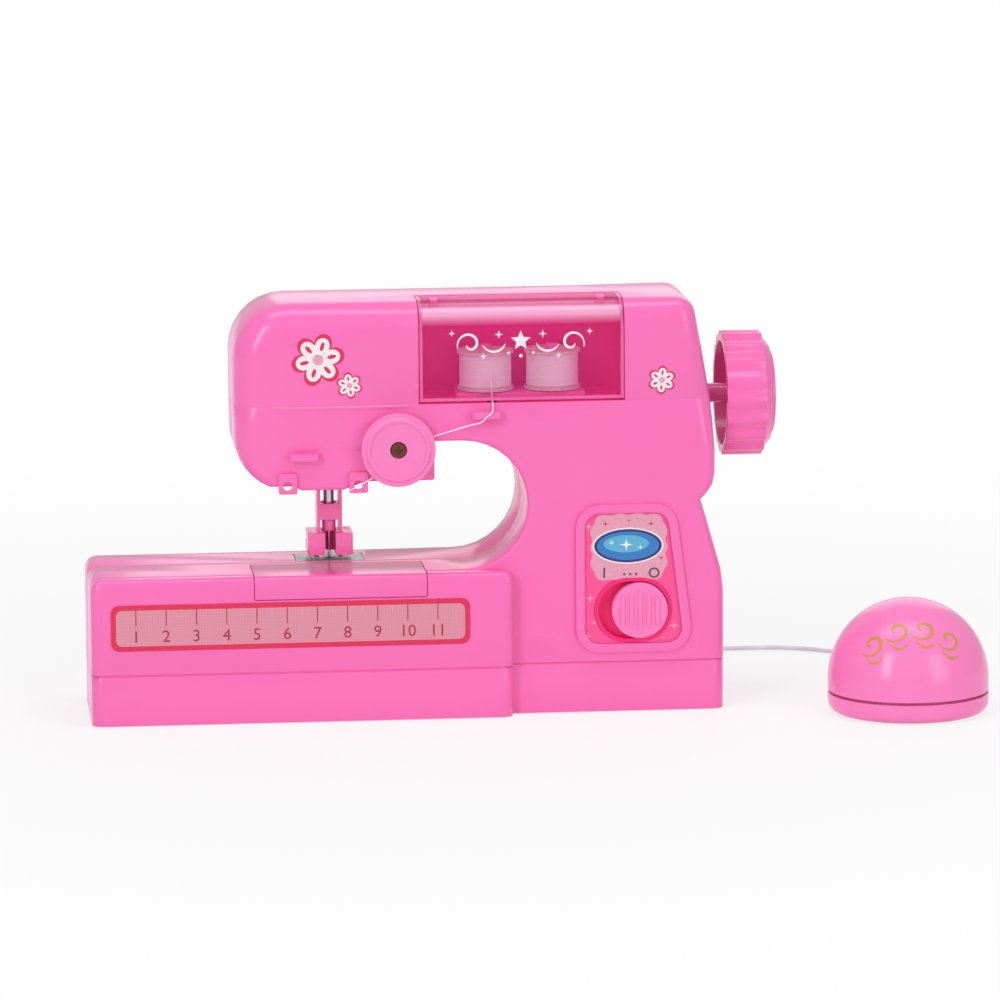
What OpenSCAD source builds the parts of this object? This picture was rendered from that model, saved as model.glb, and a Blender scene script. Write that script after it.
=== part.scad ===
// Toy sewing machine with a round foot switch, in millimetres.
// X runs to the right, Y away from the viewer, Z up; the origin is the middle of the base's underside.

/* [Casing] */
// Depth of the arm and the column
arm_d = 46; // [42:0.5:56]
// Reach from the bed's free end to the back of the throat
reach = 145.6; // [138:0.2:165]
// Width of the column behind the throat
column_w = 65.6; // [62:0.2:75]
// Length of the arm from the back of the throat to its free end
arm_len = 97; // [92:0.5:110]
// Height of the arm from the throat to the seam of the top cover
arm_low = 12.6; // [11:0.1:16]
// Height of the top cover
cover_h = 33.7; // [30:0.1:40]
// Height of the base tray
base_h = 17; // [16.5:0.5:19]
// Height of the sewing bed
bed_z = 49; // [48:0.5:50]
// How far the bed stands in front of the column
bed_proud = 6; // [4:0.5:10]
// Casing wall
wall = 2; // [1.6:0.1:2.4]
// Rounding of the arm's upper edges
round_r = 9; // [6:0.5:10]
// Radius of the throat
throat_r = 21.6; // [21:0.1:22]

/* [Spool compartment] */
// Width of the door
door_w = 67.8; // [60:0.2:70]
// Thickness of the door
door_t = 1.6; // [1.2:0.1:2]
// Radius of a spool's flanges
spool_r = 9.4; // [8:0.1:10]
// Height of a spool
spool_h = 13; // [10:0.5:15]
// Thread on the spools, drawn thick
yarn_d = 0.6; // [0.4:0.05:0.7]
// Rise of one turn of thread
yarn_pitch = 1.08; // [1.02:0.02:1.4]

/* [Drive] */
// Radius of the shafts
shaft_r = 1.5; // [1.2:0.1:2]
// Radius of the handwheel over its flutes
wheel_r = 20.9; // [18:0.1:24]
// Width of the handwheel
wheel_w = 17; // [14:0.5:20]
// Flutes on the handwheel
wheel_flutes = 18; // [12:1:24]
// Gear module
gear_m = 0.6; // [0.5:0.05:0.65]
// Teeth of the large gears
big_teeth = 36; // [30:2:36]
// Teeth of the small gears
small_teeth = 12; // [12:1:14]
// Throw of the needle crank
crank_r = 6; // [4:0.5:6]

/* [Sewing head] */
// Width of the presser foot
foot_w = 15; // [12:0.5:17]
// Length of the presser foot
foot_d = 16; // [12:0.5:18]
// Height of the presser foot
foot_h = 7.5; // [6:0.5:9]
// Gap between the bed and the lowered foot
foot_gap = 2.2; // [0.5:0.1:3]
// Radius of the needle bar
bar_r = 1.75; // [1.4:0.05:2]
// Radius of the tension dial
dial_r = 12.3; // [10:0.1:13]

/* [Control panel] */
// Radius of the sliding switch
knob_r = 9.3; // [8:0.1:10]
// Travel of the sliding switch
knob_travel = 4.2; // [3:0.1:5]
// Width of the panel's raised rim
rim_w = 3; // [2:0.1:4]

/* [Foot switch] */
// Radius of the foot switch
pedal_r = 26.8; // [24:0.1:30]
// Height of the foot switch
pedal_h = 38; // [34:0.5:42]
// Gap that lets the dome go down
pedal_gap = 1; // [0.8:0.1:2]
// Thickness of the lead
cord_d = 1.6; // [1.4:0.1:2.4]

/* [Fits] */
// Running fit of shafts and slides
run_fit = 0.06; // [0.04:0.01:0.1]
// Clearance between moving covers
gap = 0.35; // [0.3:0.05:0.5]

/* [Hidden] */
$fn = 48;

half_d = arm_d / 2;
bed_y = -half_d - bed_proud;
base_len = reach + column_w;
mid_x = -0.4;
bed_l = mid_x - base_len / 2;
col_x = bed_l + base_len;
throat_end = bed_l + reach;
bed_r = throat_end - 5.6;
low_z = base_h - 7;
head_l = throat_end - arm_len;
throat_x = throat_end - throat_r;
throat_z = bed_z + throat_r;
arm_z = throat_z + throat_r;
seam_z = arm_z + arm_low;
body_h = seam_z + cover_h;
head_z = arm_z - 15.6;
boss_z = arm_z - 13;
boss_x = head_l + 66.1;
inner_y = half_d - wall;

shaft_y = 6;
shaft_z = seam_z - 2.5;
low_shaft_z = bed_z - 11;
gear_x = col_x - 26.2;
big_r = gear_m * big_teeth / 2;
small_r = gear_m * small_teeth / 2;
mesh_d = big_r + small_r;
motor_y = -8;
motor_z = shaft_z - sqrt(pow(mesh_d * 1.948, 2) - pow(shaft_y - motor_y, 2));
idler = idler_at([shaft_y, shaft_z], [motor_y, motor_z], mesh_d);
pulley_r = 5;
belt_t = 0.8;

needle_x = head_l + 32.8;
frame_l = needle_x - 6.4;
frame_r = needle_x + 10.1;
frame_t = 2;
cover_l = needle_x - 27.4;
cover_w = 57.5;
cover_z = bed_z - 7.8;
foot_z = bed_z + foot_gap;
sleeve_w = 8.4;
guide_z = arm_z - 11.1;
guide_t = 2.6;
flange_h = 2.5;
sleeve_top = guide_z + guide_t + 0.3 + flange_h;
yoke_z = shaft_z - crank_r;
frame_top = yoke_z + 18.7;
bar_z = foot_z + 8.8;
dial_x = head_l + 53.8;
dial_z = arm_z - 2;

door_x = col_x - 33.5 - door_w;
door_mid = door_x + door_w / 2;
lip_w = 1;
lip_h = 0.4;
door_low = seam_z + 0.85;
hinge_y = -half_d + 17;
hinge_z = body_h - 2.2;
barrel_r = 2;
pin_r = 0.8;
knuckle_x = [door_x + 4.8, door_x + door_w - 7.3];
knuckle_w = 2.5;
spool_y = -half_d + 12.3;
spool_z = seam_z + 3.1;
spool_x = [door_mid - 11, door_mid + 11.3];
hub_r = 3.6;
thread_x = spool_x[0] + 1.2;
spindle_r = 2.2;
flange_t = 0.9;
yarn_core_r = spool_r - 1.3;
yarn_r = yarn_core_r + yarn_d / 2 + 0.03;
yarn_loops = floor((spool_h - 2 * flange_t - yarn_d - 0.5) / yarn_pitch * 4) / 4;

knob_x = col_x - 28.5;
knob_z = base_h + 17.2;
recess_r = knob_r + gap;
cup_r = recess_r + 1.2;
panel_low = base_h + 3;
panel_top = seam_z - 34.8;
panel_pts = [[col_x - 49.8, panel_low], [col_x - 10.3, panel_low], [col_x - 16.5, panel_top],
    [col_x - 49.8, panel_top]];

bat_x = col_x - 61.4;
bat_r = 7.1;
bat_len = 49.5;
bat_y = 8;
bat_z = 1.4 + bat_r;

pedal_x = 165.5;
pedal_y = -34;
pedal_wall = 2;
dome_c = pedal_h - pedal_r;
pedal_rim = 7.6;
cord_r = cord_d / 2;
gland_x = col_x - 25;
gland_z = 8;

screw_at = [[head_l + 9.4, arm_z + 4.8], [boss_x - 6.7, boss_z + 6], [throat_end + 8.4, throat_z - 10.6],
    [col_x - 11, base_h + 35], [bed_l + 11, base_h + 17], [throat_x - 4, base_h + 10]];
post_r = 3;
screw_r = 1.2;

coil_x = 45;
coil_r = 9;
coil_turns = 5.5;
coil_rise = cord_d + 0.2;
cord_far = half_d + 55.8;
coil_y = cord_far - coil_r;
cord_low = cord_r + 0.05;
coil_top = cord_low + coil_turns * coil_rise;
function bend_at(x, y, r, a0, a1, n) = [for (k = [0:n]) let (a = a0 + (a1 - a0) * k / n)
    [x + r * cos(a), y + r * sin(a), cord_low]];
cord_pts = concat(
    [[gland_x, half_d + 1.3, gland_z], [gland_x, half_d + 4, gland_z - 0.1],
        [gland_x, half_d + 7.5, gland_z - 1.1],
        [gland_x, half_d + 11, gland_z - 3.3], [gland_x, half_d + 14.5, gland_z - 5.6],
        [gland_x, half_d + 18.5, cord_low + 0.2]],
    bend_at(gland_x - 13, coil_y - coil_r - 13, 13, 0, 90, 4),
    [for (k = [0:8 * coil_turns]) let (a = -90 - 45 * k)
        [coil_x + coil_r * cos(a), coil_y + coil_r * sin(a), cord_low + coil_rise * k / 8]],
    [[coil_x + 7, cord_far, coil_top - 0.3], [coil_x + 16, cord_far, coil_top - 2.3],
        [coil_x + 26, cord_far, coil_top - 5.6], [coil_x + 36, cord_far, cord_low + 1.4],
        [coil_x + 44, cord_far, cord_low + 0.2], [coil_x + 54, cord_far, cord_low]],
    bend_at(pedal_x - 36, cord_far - 36, 36, 90, 0, 9),
    [[pedal_x, pedal_y + pedal_r + 15, cord_low + 0.05], [pedal_x, pedal_y + pedal_r + 11, cord_low + 0.4],
        [pedal_x, pedal_y + pedal_r + 7.5, cord_low + 1.1], [pedal_x, pedal_y + pedal_r + 4.5, cord_low + 2],
        [pedal_x, pedal_y + pedal_r + 1.85, 3.35]]);

thread_r = 0.22;
ledge_y = -half_d - 4;
lug_t = 1.2;
lug_y = -half_d - lug_t;
lug_x = [head_l + 14.2, head_l + 37.6];
ledge_at = [[head_l + 17.6, arm_z - 5.2], [thread_x - 7.3, arm_z + 7.6]];
thread_y = -half_d - 0.85;
off_ledge = [thread_x - 3.4, ledge_y - 0.45, arm_z + 7.3];
to_dial = [dial_x + 13, thread_y, arm_z + 2.2];
thread_pts = [
    [thread_x, spool_y - yarn_r - 0.8, spool_z + 6], [thread_x, spool_y - yarn_r - 0.9, spool_z + 4],
    [thread_x, spool_y - spool_r - 0.62, spool_z + 1.4], [thread_x, spool_y - spool_r - 0.64, spool_z - 0.6],
    [thread_x, spool_y - spool_r - 0.7, seam_z + 1], [thread_x, 1.6 - half_d, seam_z + 0.4],
    [thread_x, 0.8 - half_d, seam_z + 0.3], [thread_x, -half_d, seam_z + 0.3],
    [thread_x, -half_d - 0.6, seam_z + 0.1], [thread_x, -half_d - 1.1, seam_z - 0.9],
    [thread_x - 0.1, ledge_y + 1.6, arm_z + 10.7], [thread_x - 0.4, ledge_y - 0.2, arm_z + 10.4],
    [thread_x - 0.8, ledge_y - 0.5, arm_z + 9.6], [thread_x - 2.4, ledge_y - 0.4, arm_z + 8.6],
    off_ledge, off_ledge + (to_dial - off_ledge) / 3, to_dial - (to_dial - off_ledge) / 3,
    to_dial, [dial_x + 8.6, thread_y, arm_z + 0.6], [dial_x + 4.7, thread_y, dial_z - 2.2],
    [dial_x + 2.7, thread_y, dial_z - 4.5], [dial_x, thread_y, dial_z - 5.4],
    [dial_x - 5.4, thread_y, arm_z - 9.6], [lug_x[1] + 6.6, lug_y - 0.5, arm_z - 12],
    [lug_x[1] + 3.8, lug_y - 0.5, arm_z - 13.6], [lug_x[1] + 0.2, lug_y - 0.5, arm_z - 15.4]];

pink = [0.98, 0.36, 0.66];
deep_pink = [0.86, 0.12, 0.42];
clear_pink = [0.95, 0.25, 0.6, 0.45];
steel = [0.72, 0.73, 0.75];
brass = [0.8, 0.62, 0.3];
milky = [0.93, 0.93, 0.9];
grey = [0.75, 0.76, 0.78];

// Outlines are lists of [x, z, edge radius], anticlockwise as the viewer sees them.
function arc(c, r, a0, a1, n, f0, f1) = [for (k = [0:n]) let (t = k / n, a = a0 + (a1 - a0) * t)
    [c[0] + r * cos(a), c[1] + r * sin(a), f0 + (f1 - f0) * t]];
function unit(v) = v / norm(v);
function inward(p, q) = let (d = unit([q[0] - p[0], q[1] - p[1]])) [-d[1], d[0]];
function miter(pts, i) = let (n = len(pts), a = inward(pts[(i + n - 1) % n], pts[i]),
    b = inward(pts[i], pts[(i + 1) % n])) (a + b) / (1 + a * b);
function inset(pts, d) = [for (i = [0:len(pts) - 1]) [pts[i][0], pts[i][1]] + d * miter(pts, i)];
function backwards(v) = [for (i = [len(v) - 1:-1:0]) v[i]];

// The rounding of one face, as rings from the face to the side.
function face_rings(pts, y, dir, d, steps) = [for (k = [0:steps]) let (t = 90 * k / steps)
    [for (i = [0:len(pts) - 1]) let (f = max(pts[i][2] - d, 0.3), m = miter(pts, i), s = d + f * (1 - sin(t)))
        [pts[i][0] + s * m[0], y + dir * f * (1 - cos(t)), pts[i][1] + s * m[1]]]];
function end_ring(pts, d, y) = [for (i = [0:len(pts) - 1]) let (m = miter(pts, i))
    [pts[i][0] + d * m[0], y, pts[i][1] + d * m[1]]];
function fan(n) = [for (i = [1:n - 2]) [0, i, i + 1]];
// Fills a bent ring with triangles, cutting off the corner with the shortest chord each time.
function turn(p, q, s) = (q[0] - p[0]) * (s[1] - p[1]) - (q[1] - p[1]) * (s[0] - p[0]);
function blocked(q, v, a, b, c) = len([for (i = v) let (p = q[i]) if (p != a && p != b && p != c
    && turn(a, b, p) >= 0 && turn(b, c, p) >= 0 && turn(c, a, p) >= 0) 1]) > 0;
function chord(q, v, k) = let (n = len(v), a = q[v[(k + n - 1) % n]], b = q[v[k]], c = q[v[(k + 1) % n]])
    turn(a, b, c) < 0.0001 || blocked(q, v, a, b, c) ? 1000000 : norm(a - c);
function clip(q, v) = len(v) == 3 ? [v]
    : let (n = len(v), s = [for (k = [0:n - 1]) chord(q, v, k)], k = search(min(s), s)[0])
    concat([[v[(k + n - 1) % n], v[k], v[(k + 1) % n]]], clip(q, [for (i = [0:n - 1]) if (i != k) v[i]]));
function ring_cap(ring) = clip([for (p = ring) [p[0], p[2]]], [for (i = [0:len(ring) - 1]) i]);

function crown() = concat(
    [[col_x - 3.4, seam_z - 8, 5], [col_x - 4.2, seam_z, 5.6], [col_x - 7.2, body_h - 16, 5.6]],
    arc([col_x - 15.5, body_h - 6.5], 6.5, 10, 90, 5, 5.6, 6),
    [for (k = [1:3]) [col_x - 15.5 + (head_l - col_x + 34) * k / 4, body_h, round_r]],
    arc([head_l + 18.5, body_h - 18.5], 18.5, 90, 180, 7, round_r, round_r),
    [[head_l, seam_z, round_r], [head_l + 0.2, seam_z - 6, round_r - 1]]);
function right_side() = concat([[col_x, low_z, 3.5]], [for (p = [[0, 64.8, 3.5], [0.8, 57.8, 3.5], [4.2, 46, 3.2],
    [7.6, 34.2, 2.6], [5.8, 32.2, 2.2], [3.7, 29.2, 2.5], [2.8, 25.3, 3], [2.7, 17.8, 4]])
    [col_x - p[0], seam_z - p[1], p[2]]]);
function outer_run(f) = concat(
    arc([bed_l + 4, bed_z - 4], 4, 90, 180, 4, f, f),
    [for (k = [0:4]) [bed_l + base_len * k / 5, low_z, f]],
    right_side(), crown(),
    arc([head_l + 17.2, head_z + 17.4], 17, 180, 250, 6, round_r - 2, 1.6));
function inner_run(f) = concat(
    [[head_l + 19.4, head_z + 1.4, 1.4], [head_l + 22, head_z, 1.4], [head_l + 35.8, head_z, 1.4],
        [head_l + 38, head_z + 0.7, 1.4], [head_l + 43, boss_z, 1.4], [boss_x - 0.6, boss_z, 1.4],
        [boss_x, boss_z + 0.6, 1.4], [boss_x, arm_z, 1.4]],
    arc([throat_x, throat_z], throat_r, 90, -90, 16, 1.4, 1.4),
    [for (k = [1:4]) [throat_x + (bed_l + 8 - throat_x) * k / 4, bed_z, f]]);

module loft(rings, front_cap, back_cap) {
    n = len(rings[0]);
    m = len(rings);
    side = [for (k = [0:m - 2]) for (i = [0:n - 1]) let (j = (i + 1) % n)
        each [[k * n + i, k * n + j, k * n + n + j], [k * n + i, k * n + n + j, k * n + n + i]]];
    first = [for (c = front_cap) [c[0], c[2], c[1]]];
    last = [for (c = back_cap) [for (v = c) v + (m - 1) * n]];
    polyhedron([for (r = rings) each r], concat(side, first, last));
}

// The front half of the C-shaped casing, hollow and open at the parting plane.
module casing_half(f) {
    o = concat(outer_run(f), inner_run(f));
    outside = face_rings(o, -half_d, 1, 0, 4);
    inside = face_rings(o, wall - half_d, 1, wall, 2);
    loft(concat(outside, [end_ring(o, 0, 0), end_ring(o, wall, 0)], backwards(inside)),
        ring_cap(outside[0]), ring_cap(inside[0]));
}
module block_from(z0, z1) {
    translate([bed_l - 10, -2 * arm_d, z0]) cube([base_len + 20, 4 * arm_d, z1 - z0]);
}
module along_y(x, y, z, r, l) {
    translate([x, y, z]) rotate([-90, 0, 0]) cylinder(r = r, h = l);
}
module along_x(x, y, z, r, l) {
    translate([x, y, z]) rotate([0, 90, 0]) cylinder(r = r, h = l);
}
module rounded(x, y, r) {
    translate([r, 0]) square([x - 2 * r, y]);
    translate([0, r]) square([x, y - 2 * r]);
    for (px = [r, x - r], py = [r, y - r]) translate([px, py]) circle(r);
}
// A flat profile drawn in X and Z, standing at y and reaching l towards the viewer.
module upright(y, l) {
    translate([0, y, 0]) rotate([90, 0, 0]) linear_extrude(l) children();
}
// A flat profile drawn in Y and Z, reaching l to the right of x.
module sideways(x, l) {
    translate([x, 0, 0]) rotate([90, 0, 90]) linear_extrude(l) children();
}
// Section of a plate that bends from a front face to a top face: y0, z0 is its lower front corner.
module bend(y0, z0, y1, z1, r) {
    translate([y0 + r, z0]) square([y1 - y0 - r, z1 - z0]);
    translate([y0, z0]) square([r, z1 - z0 - r]);
    translate([y0 + r, z1 - r]) circle(r);
}
module stadium(x, z, r, l) {
    translate([x - l, z]) circle(r);
    translate([x, z]) circle(r);
    translate([x - l, z - r]) square([l, 2 * r]);
}

// Casing

module base_plan(d) {
    translate([bed_l + d, bed_y + d]) rounded(bed_r - bed_l - 2 * d, half_d - bed_y - 2 * d, 4 - d / 2);
    translate([d, d - half_d]) rounded(col_x - 2 * d, arm_d - 2 * d, 4.5 - d / 2);
}
module base_tray() {
    color(pink) difference() {
        union() {
            difference() {
                union() {
                    linear_extrude(base_h - 0.5) base_plan(0);
                    linear_extrude(base_h) base_plan(0.5);
                }
                translate([0, 0, wall]) linear_extrude(base_h) base_plan(wall + 0.5);
            }
            for (x = [bat_x - 3.2, bat_x + bat_len + 2.4]) translate([x, -16, wall / 2]) cube([2.4, 32, 14]);
        }
        translate([bat_x - 1, -16.5, -1]) cube([bat_len + 3.6, 33, 4]);
        translate([bat_x - 4, -18.5, -1]) cube([bat_len + 10, 37, 2.2]);
        along_y(gland_x, half_d - 4, gland_z, 2.2, 6);
        translate([bat_x - 6, 0, -1]) cylinder(r = screw_r, h = 4);
    }
}
module battery_door() {
    color(pink) difference() {
        translate([bat_x - 3.7, -18.2, 0]) cube([bat_len + 9.4, 36.4, 1.2]);
        for (k = [0:4]) translate([bat_x + 4 + 2 * k, -9, -1]) cube([0.9, 18, 1.4]);
    }
}
module door_screw() {
    color(steel) {
        translate([bat_x - 6, 0, 0.2]) cylinder(r = screw_r, h = 6);
        translate([bat_x - 6, 0, 2]) cylinder(r = 2.2, h = 1.2);
    }
}
module battery_cells() {
    color(milky) for (s = [-1, 1]) translate([bat_x + bat_len / 2 + 0.5, s * bat_y, bat_z])
        rotate([0, 0, 90 * s - 90]) {
            along_x(-bat_len / 2 - 0.6, 0, 0, bat_r, bat_len);
            along_x(bat_len / 2 - 0.7, 0, 0, 2.7, 1.3);
        }
}
module battery_contacts() {
    color(steel) for (s = [-1, 1], x = [bat_x - 0.8, bat_x + bat_len + 1.1])
        translate([x, s * bat_y - 5, bat_z - 5]) cube([x < bat_x ? 0.7 : 1.3, 10, 10]);
}
module post(p, r) {
    along_y(p[0], -inner_y - 0.5, p[1], r, inner_y + 0.5);
}
module front_shell() {
    color(pink) difference() {
        union() {
            casing_half(0.5);
            for (p = screw_at) post(p, post_r);
        }
        block_from(-1, base_h);
        block_from(seam_z, 2 * body_h);
        for (p = screw_at) along_y(p[0], -14, p[1], screw_r, 15);
        upright(1 - inner_y, wall + 2) stadium(knob_x, knob_z, cup_r + 0.05, knob_travel);
        sideways(cover_l, cover_w) bed_section(0);
        along_y(dial_x, -half_d - 1, dial_z, screw_r, 9);
    }
}
module rear_shell() {
    color(pink) difference() {
        union() {
            mirror([0, 1, 0]) casing_half(2.5);
            mirror([0, 1, 0]) for (p = screw_at) post(p, post_r);
        }
        block_from(-1, base_h);
        block_from(seam_z, 2 * body_h);
        for (p = screw_at) {
            along_y(p[0], -1, p[1], screw_r + 0.4, arm_d);
            along_y(p[0], half_d - 9, p[1], 2.4, 12);
        }
        along_x(col_x - 12, shaft_y, shaft_z, 3.6 + gap, 20);
        translate([needle_x - sleeve_w / 2 - 0.5, shaft_y - sleeve_w / 2 - 0.5, head_z - 2])
            cube([sleeve_w + 1, sleeve_w + 1, 6]);
        translate([needle_x - 11.6, 1, bed_z - 1.2]) cube([23.2, 14, 3]);
        translate([needle_x, shaft_y, bed_z - 4]) cylinder(r = 4, h = 6);
    }
}
module casing_screws() {
    color(steel) for (p = screw_at) {
        along_y(p[0], half_d - 9, p[1], 2.3, 1.6);
        along_y(p[0], -10, p[1], screw_r - 0.02, half_d + 1.5);
    }
}
module apron_solid(d, y0, y1, f) {
    o = concat([[bed_l + 60, low_z, f], [bed_r, low_z, f]], arc([bed_r - 3.4, bed_z - 3.4], 3.4, 0, 90, 4, f, f),
        arc([bed_l + 4, bed_z - 4], 4, 90, 180, 4, f, f), [[bed_l, low_z, f]]);
    loft(concat(face_rings(o, y0, 1, d, 4), [end_ring(o, d, y1)]), fan(len(o)), fan(len(o)));
}
// Section of the looper cover, which wraps over the bed's front edge.
module bed_section(d) {
    difference() {
        bend(bed_y - 2 + d, cover_z + d, -4 - d, bed_z + 2 - d, 2.6);
        bend(bed_y + 1.2, cover_z - 1.2, 2, bed_z - 1.2, 1.3);
    }
}
module bed_apron() {
    color(pink) difference() {
        apron_solid(0, bed_y, -half_d, 2.5);
        block_from(-1, base_h);
        apron_solid(wall, bed_y + wall, 1 - half_d, 2.5);
        sideways(cover_l, cover_w) bed_section(0);
    }
}
module bed_cover() {
    color(pink) intersection() {
        sideways(cover_l + 0.2, cover_w - 0.4) bed_section(0.2);
        sideways(cover_l + 0.2, cover_w - 0.4) bend(bed_y, cover_z + 0.2, -4.2, bed_z, 2.5);
    }
}
module needle_plate() {
    color(steel) difference() {
        translate([needle_x - 11.4, 1.2, bed_z - 1.2]) cube([22.8, 13.6, 1.2]);
        translate([needle_x, shaft_y, bed_z - 2]) cylinder(r = 1.1, h = 3);
        for (x = [-4, 4]) translate([needle_x + x - 0.7, shaft_y + 2, bed_z - 2]) cube([1.4, 5, 3]);
    }
}
module cover_solid(d, steps) {
    o = concat([[throat_x + 2, seam_z - 9, 1]], crown(), [[head_l + 0.4, seam_z - 9, 1]]);
    loft(concat(face_rings(o, d - half_d, 1, d, steps), backwards(face_rings(o, half_d - d, -1, d, steps))),
        fan(len(o)), fan(len(o)));
}
module top_cover() {
    color(pink) difference() {
        union() {
            difference() {
                cover_solid(0, 5);
                cover_solid(wall, 3);
                translate([door_x - gap, -half_d - 1, seam_z - 1])
                    cube([door_w + 2 * gap, hinge_y + half_d + 1 + barrel_r + 0.5, body_h]);
            }
            for (x = knuckle_x) {
                along_x(x, hinge_y, hinge_z, barrel_r - 0.1, knuckle_w);
                translate([x, hinge_y, hinge_z - 1.6]) cube([knuckle_w, 6, 3]);
            }
        }
        block_from(-1, seam_z);
        along_x(col_x - 12, shaft_y, shaft_z, 3.6 + gap, 20);
        for (x = knuckle_x) along_x(x - 1, hinge_y, hinge_z, pin_r + run_fit, knuckle_w + 2);
    }
}

// Spool compartment

module spool_tray() {
    x0 = door_x - gap - 1.3;
    x1 = door_x + door_w + gap + 1.3;
    color(pink) difference() {
        union() {
            translate([x0, -inner_y, seam_z]) cube([x1 - x0, 2 * inner_y, 1.2]);
            translate([x0, 0.8, seam_z]) cube([x1 - x0, 1.2, body_h - seam_z - 4]);
            for (x = [x0, x1 - 1]) translate([x, -inner_y, seam_z]) cube([1, inner_y + 2, body_h - seam_z - 10]);
        }
        translate([thread_x - 1.6, -inner_y - 1, seam_z - 1]) cube([3.2, 2.6, 4]);
    }
}
module spool_seat() {
    color(pink) {
        translate([spool_x[0] - 10.2, spool_y - 8, seam_z + 1.2])
            cube([spool_x[1] - spool_x[0] + 20.4, 17, 1.5]);
        for (x = spool_x) translate([x, spool_y, seam_z + 2]) cylinder(r = spindle_r, h = spool_h + 3);
    }
}
module spool(x) {
    color(milky) translate([x, spool_y, spool_z]) difference() {
        union() {
            cylinder(r = spool_r, h = flange_t);
            cylinder(r = hub_r, h = spool_h);
            translate([0, 0, spool_h - flange_t]) cylinder(r = spool_r, h = flange_t);
        }
        translate([0, 0, -1]) cylinder(r = spindle_r + run_fit, h = spool_h + 2);
    }
}
module spool_left() spool(spool_x[0]);
module spool_right() spool(spool_x[1]);
function helix(r, pitch, loops, per) = [for (k = [0:round(loops * per)]) let (a = 360 * k / per)
    [r * cos(a), r * sin(a), pitch * k / per]];
function tangent(p, i) = unit(p[min(i + 1, len(p) - 1)] - p[max(i - 1, 0)]);
function carry(p, i, n) = i == len(p) ? [] : let (t = tangent(p, i), m = unit(n - (n * t) * t))
    concat([m], carry(p, i + 1, m));
function self_gap(p, r, skip) = min([for (i = [0:len(p) - 1 - skip]) min([for (j = [i + skip:len(p) - 1])
    norm(p[i] - p[j])])]) - 2 * r;
module tube(path, r, sides, n0) {
    ms = carry(path, 0, n0);
    n = len(path);
    pts = [for (i = [0:n - 1]) let (t = tangent(path, i), b = cross(t, ms[i]))
        for (k = [0:sides - 1]) path[i] + r * (cos(360 * k / sides) * ms[i] + sin(360 * k / sides) * b)];
    skin = [for (i = [0:n - 2]) for (k = [0:sides - 1]) let (j = (k + 1) % sides, p = i * sides, q = p + sides)
        each [[p + k, q + k, q + j], [p + k, q + j, p + j]]];
    polyhedron(pts, concat(skin, [[for (k = [0:sides - 1]) k]],
        [[for (k = [0:sides - 1]) n * sides - 1 - k]]));
}
yarn_path = helix(yarn_r, yarn_pitch, yarn_loops, 24);
echo(str("least gap between turns of thread ", self_gap(yarn_path, yarn_d / 2, 12)));
module yarn(x) {
    color([0.97, 0.97, 0.97]) translate([x, spool_y, spool_z + flange_t]) {
        difference() {
            cylinder(r = yarn_core_r, h = spool_h - 2 * flange_t);
            translate([0, 0, -1]) cylinder(r = hub_r, h = spool_h + 2);
        }
        translate([0, 0, yarn_d / 2 + 0.2]) tube(yarn_path, yarn_d / 2, 6, [1, 0, 0]);
    }
}
module thread_left() yarn(spool_x[0]);
module thread_right() yarn(spool_x[1]);
module door_section() {
    difference() {
        bend(-half_d, door_low, hinge_y, body_h, round_r);
        bend(-half_d + door_t, seam_z, hinge_y + 1, body_h - door_t, round_r - door_t);
    }
}
module spool_door() {
    color(clear_pink) {
        difference() {
            union() {
                sideways(door_x, door_w) door_section();
                along_x(door_x, hinge_y, hinge_z, barrel_r, door_w);
                translate([door_mid - 6.5, -half_d - 1.4, door_low + 0.95]) cube([13, 2, 2.2]);
                upright(-half_d, lip_h) difference() {
                    translate([door_x, door_low]) square([door_w, body_h - round_r - door_low]);
                    translate([door_x + lip_w, door_low + lip_w]) square([door_w - 2 * lip_w, body_h]);
                }
            }
            for (x = knuckle_x) translate([x - gap, hinge_y - barrel_r - gap - 0.2, body_h - 6])
                cube([knuckle_w + 2 * gap, 8, 8]);
        }
        along_x(door_x, hinge_y, hinge_z, pin_r, door_w);
    }
}

// Thread path and tension

module tension_dial() {
    color(pink) translate([dial_x, -half_d - 0.3, dial_z]) rotate([90, 0, 0]) difference() {
        union() {
            cylinder(r = 4, h = 2);
            translate([0, 0, 1.2]) cylinder(r = dial_r, h = 2.4);
            translate([0, 0, 3]) cylinder(r1 = dial_r - 0.9, r2 = dial_r - 2, h = 1.5);
        }
        translate([0, 0, 3.9]) cylinder(r = dial_r - 3, h = 2);
        translate([0, 0, 2]) cylinder(r = 2.8, h = 4);
        translate([0, 0, -1]) cylinder(r = screw_r + run_fit, h = 4);
    }
}
module dial_screw() {
    color(steel) translate([dial_x, -half_d, dial_z]) rotate([90, 0, 0]) difference() {
        union() {
            translate([0, 0, -7.5]) cylinder(r = screw_r - 0.02, h = 10.2);
            translate([0, 0, 2.65]) cylinder(r = 2.4, h = 1.2);
        }
        for (a = [0, 90]) rotate([0, 0, a]) translate([-1.4, -0.3, 3.2]) cube([2.8, 0.6, 2]);
    }
}
module ledge(x, z) {
    translate([x, ledge_y, z]) difference() {
        linear_extrude(2.4) union() {
            translate([0, 2]) square([10.2, 2]);
            translate([2, 0]) square([6.2, 2]);
            for (p = [2, 8.2]) translate([p, 2]) circle(2);
        }
        translate([2.2, 2.7, 1.5]) cube([5.8, 0.9, 2]);
    }
}
module thread_guides() {
    color(pink) {
        for (p = ledge_at) ledge(p[0], p[1]);
    }
}
module lug(x) {
    upright(-half_d, lug_t) difference() {
        translate([x, head_z - 0.9]) rounded(6.2, 7, 0.8);
        translate([x + 3, head_z + 1.8]) circle(1.5);
    }
}
module eyelet_lugs() {
    color(pink) for (x = lug_x) lug(x);
}
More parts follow.
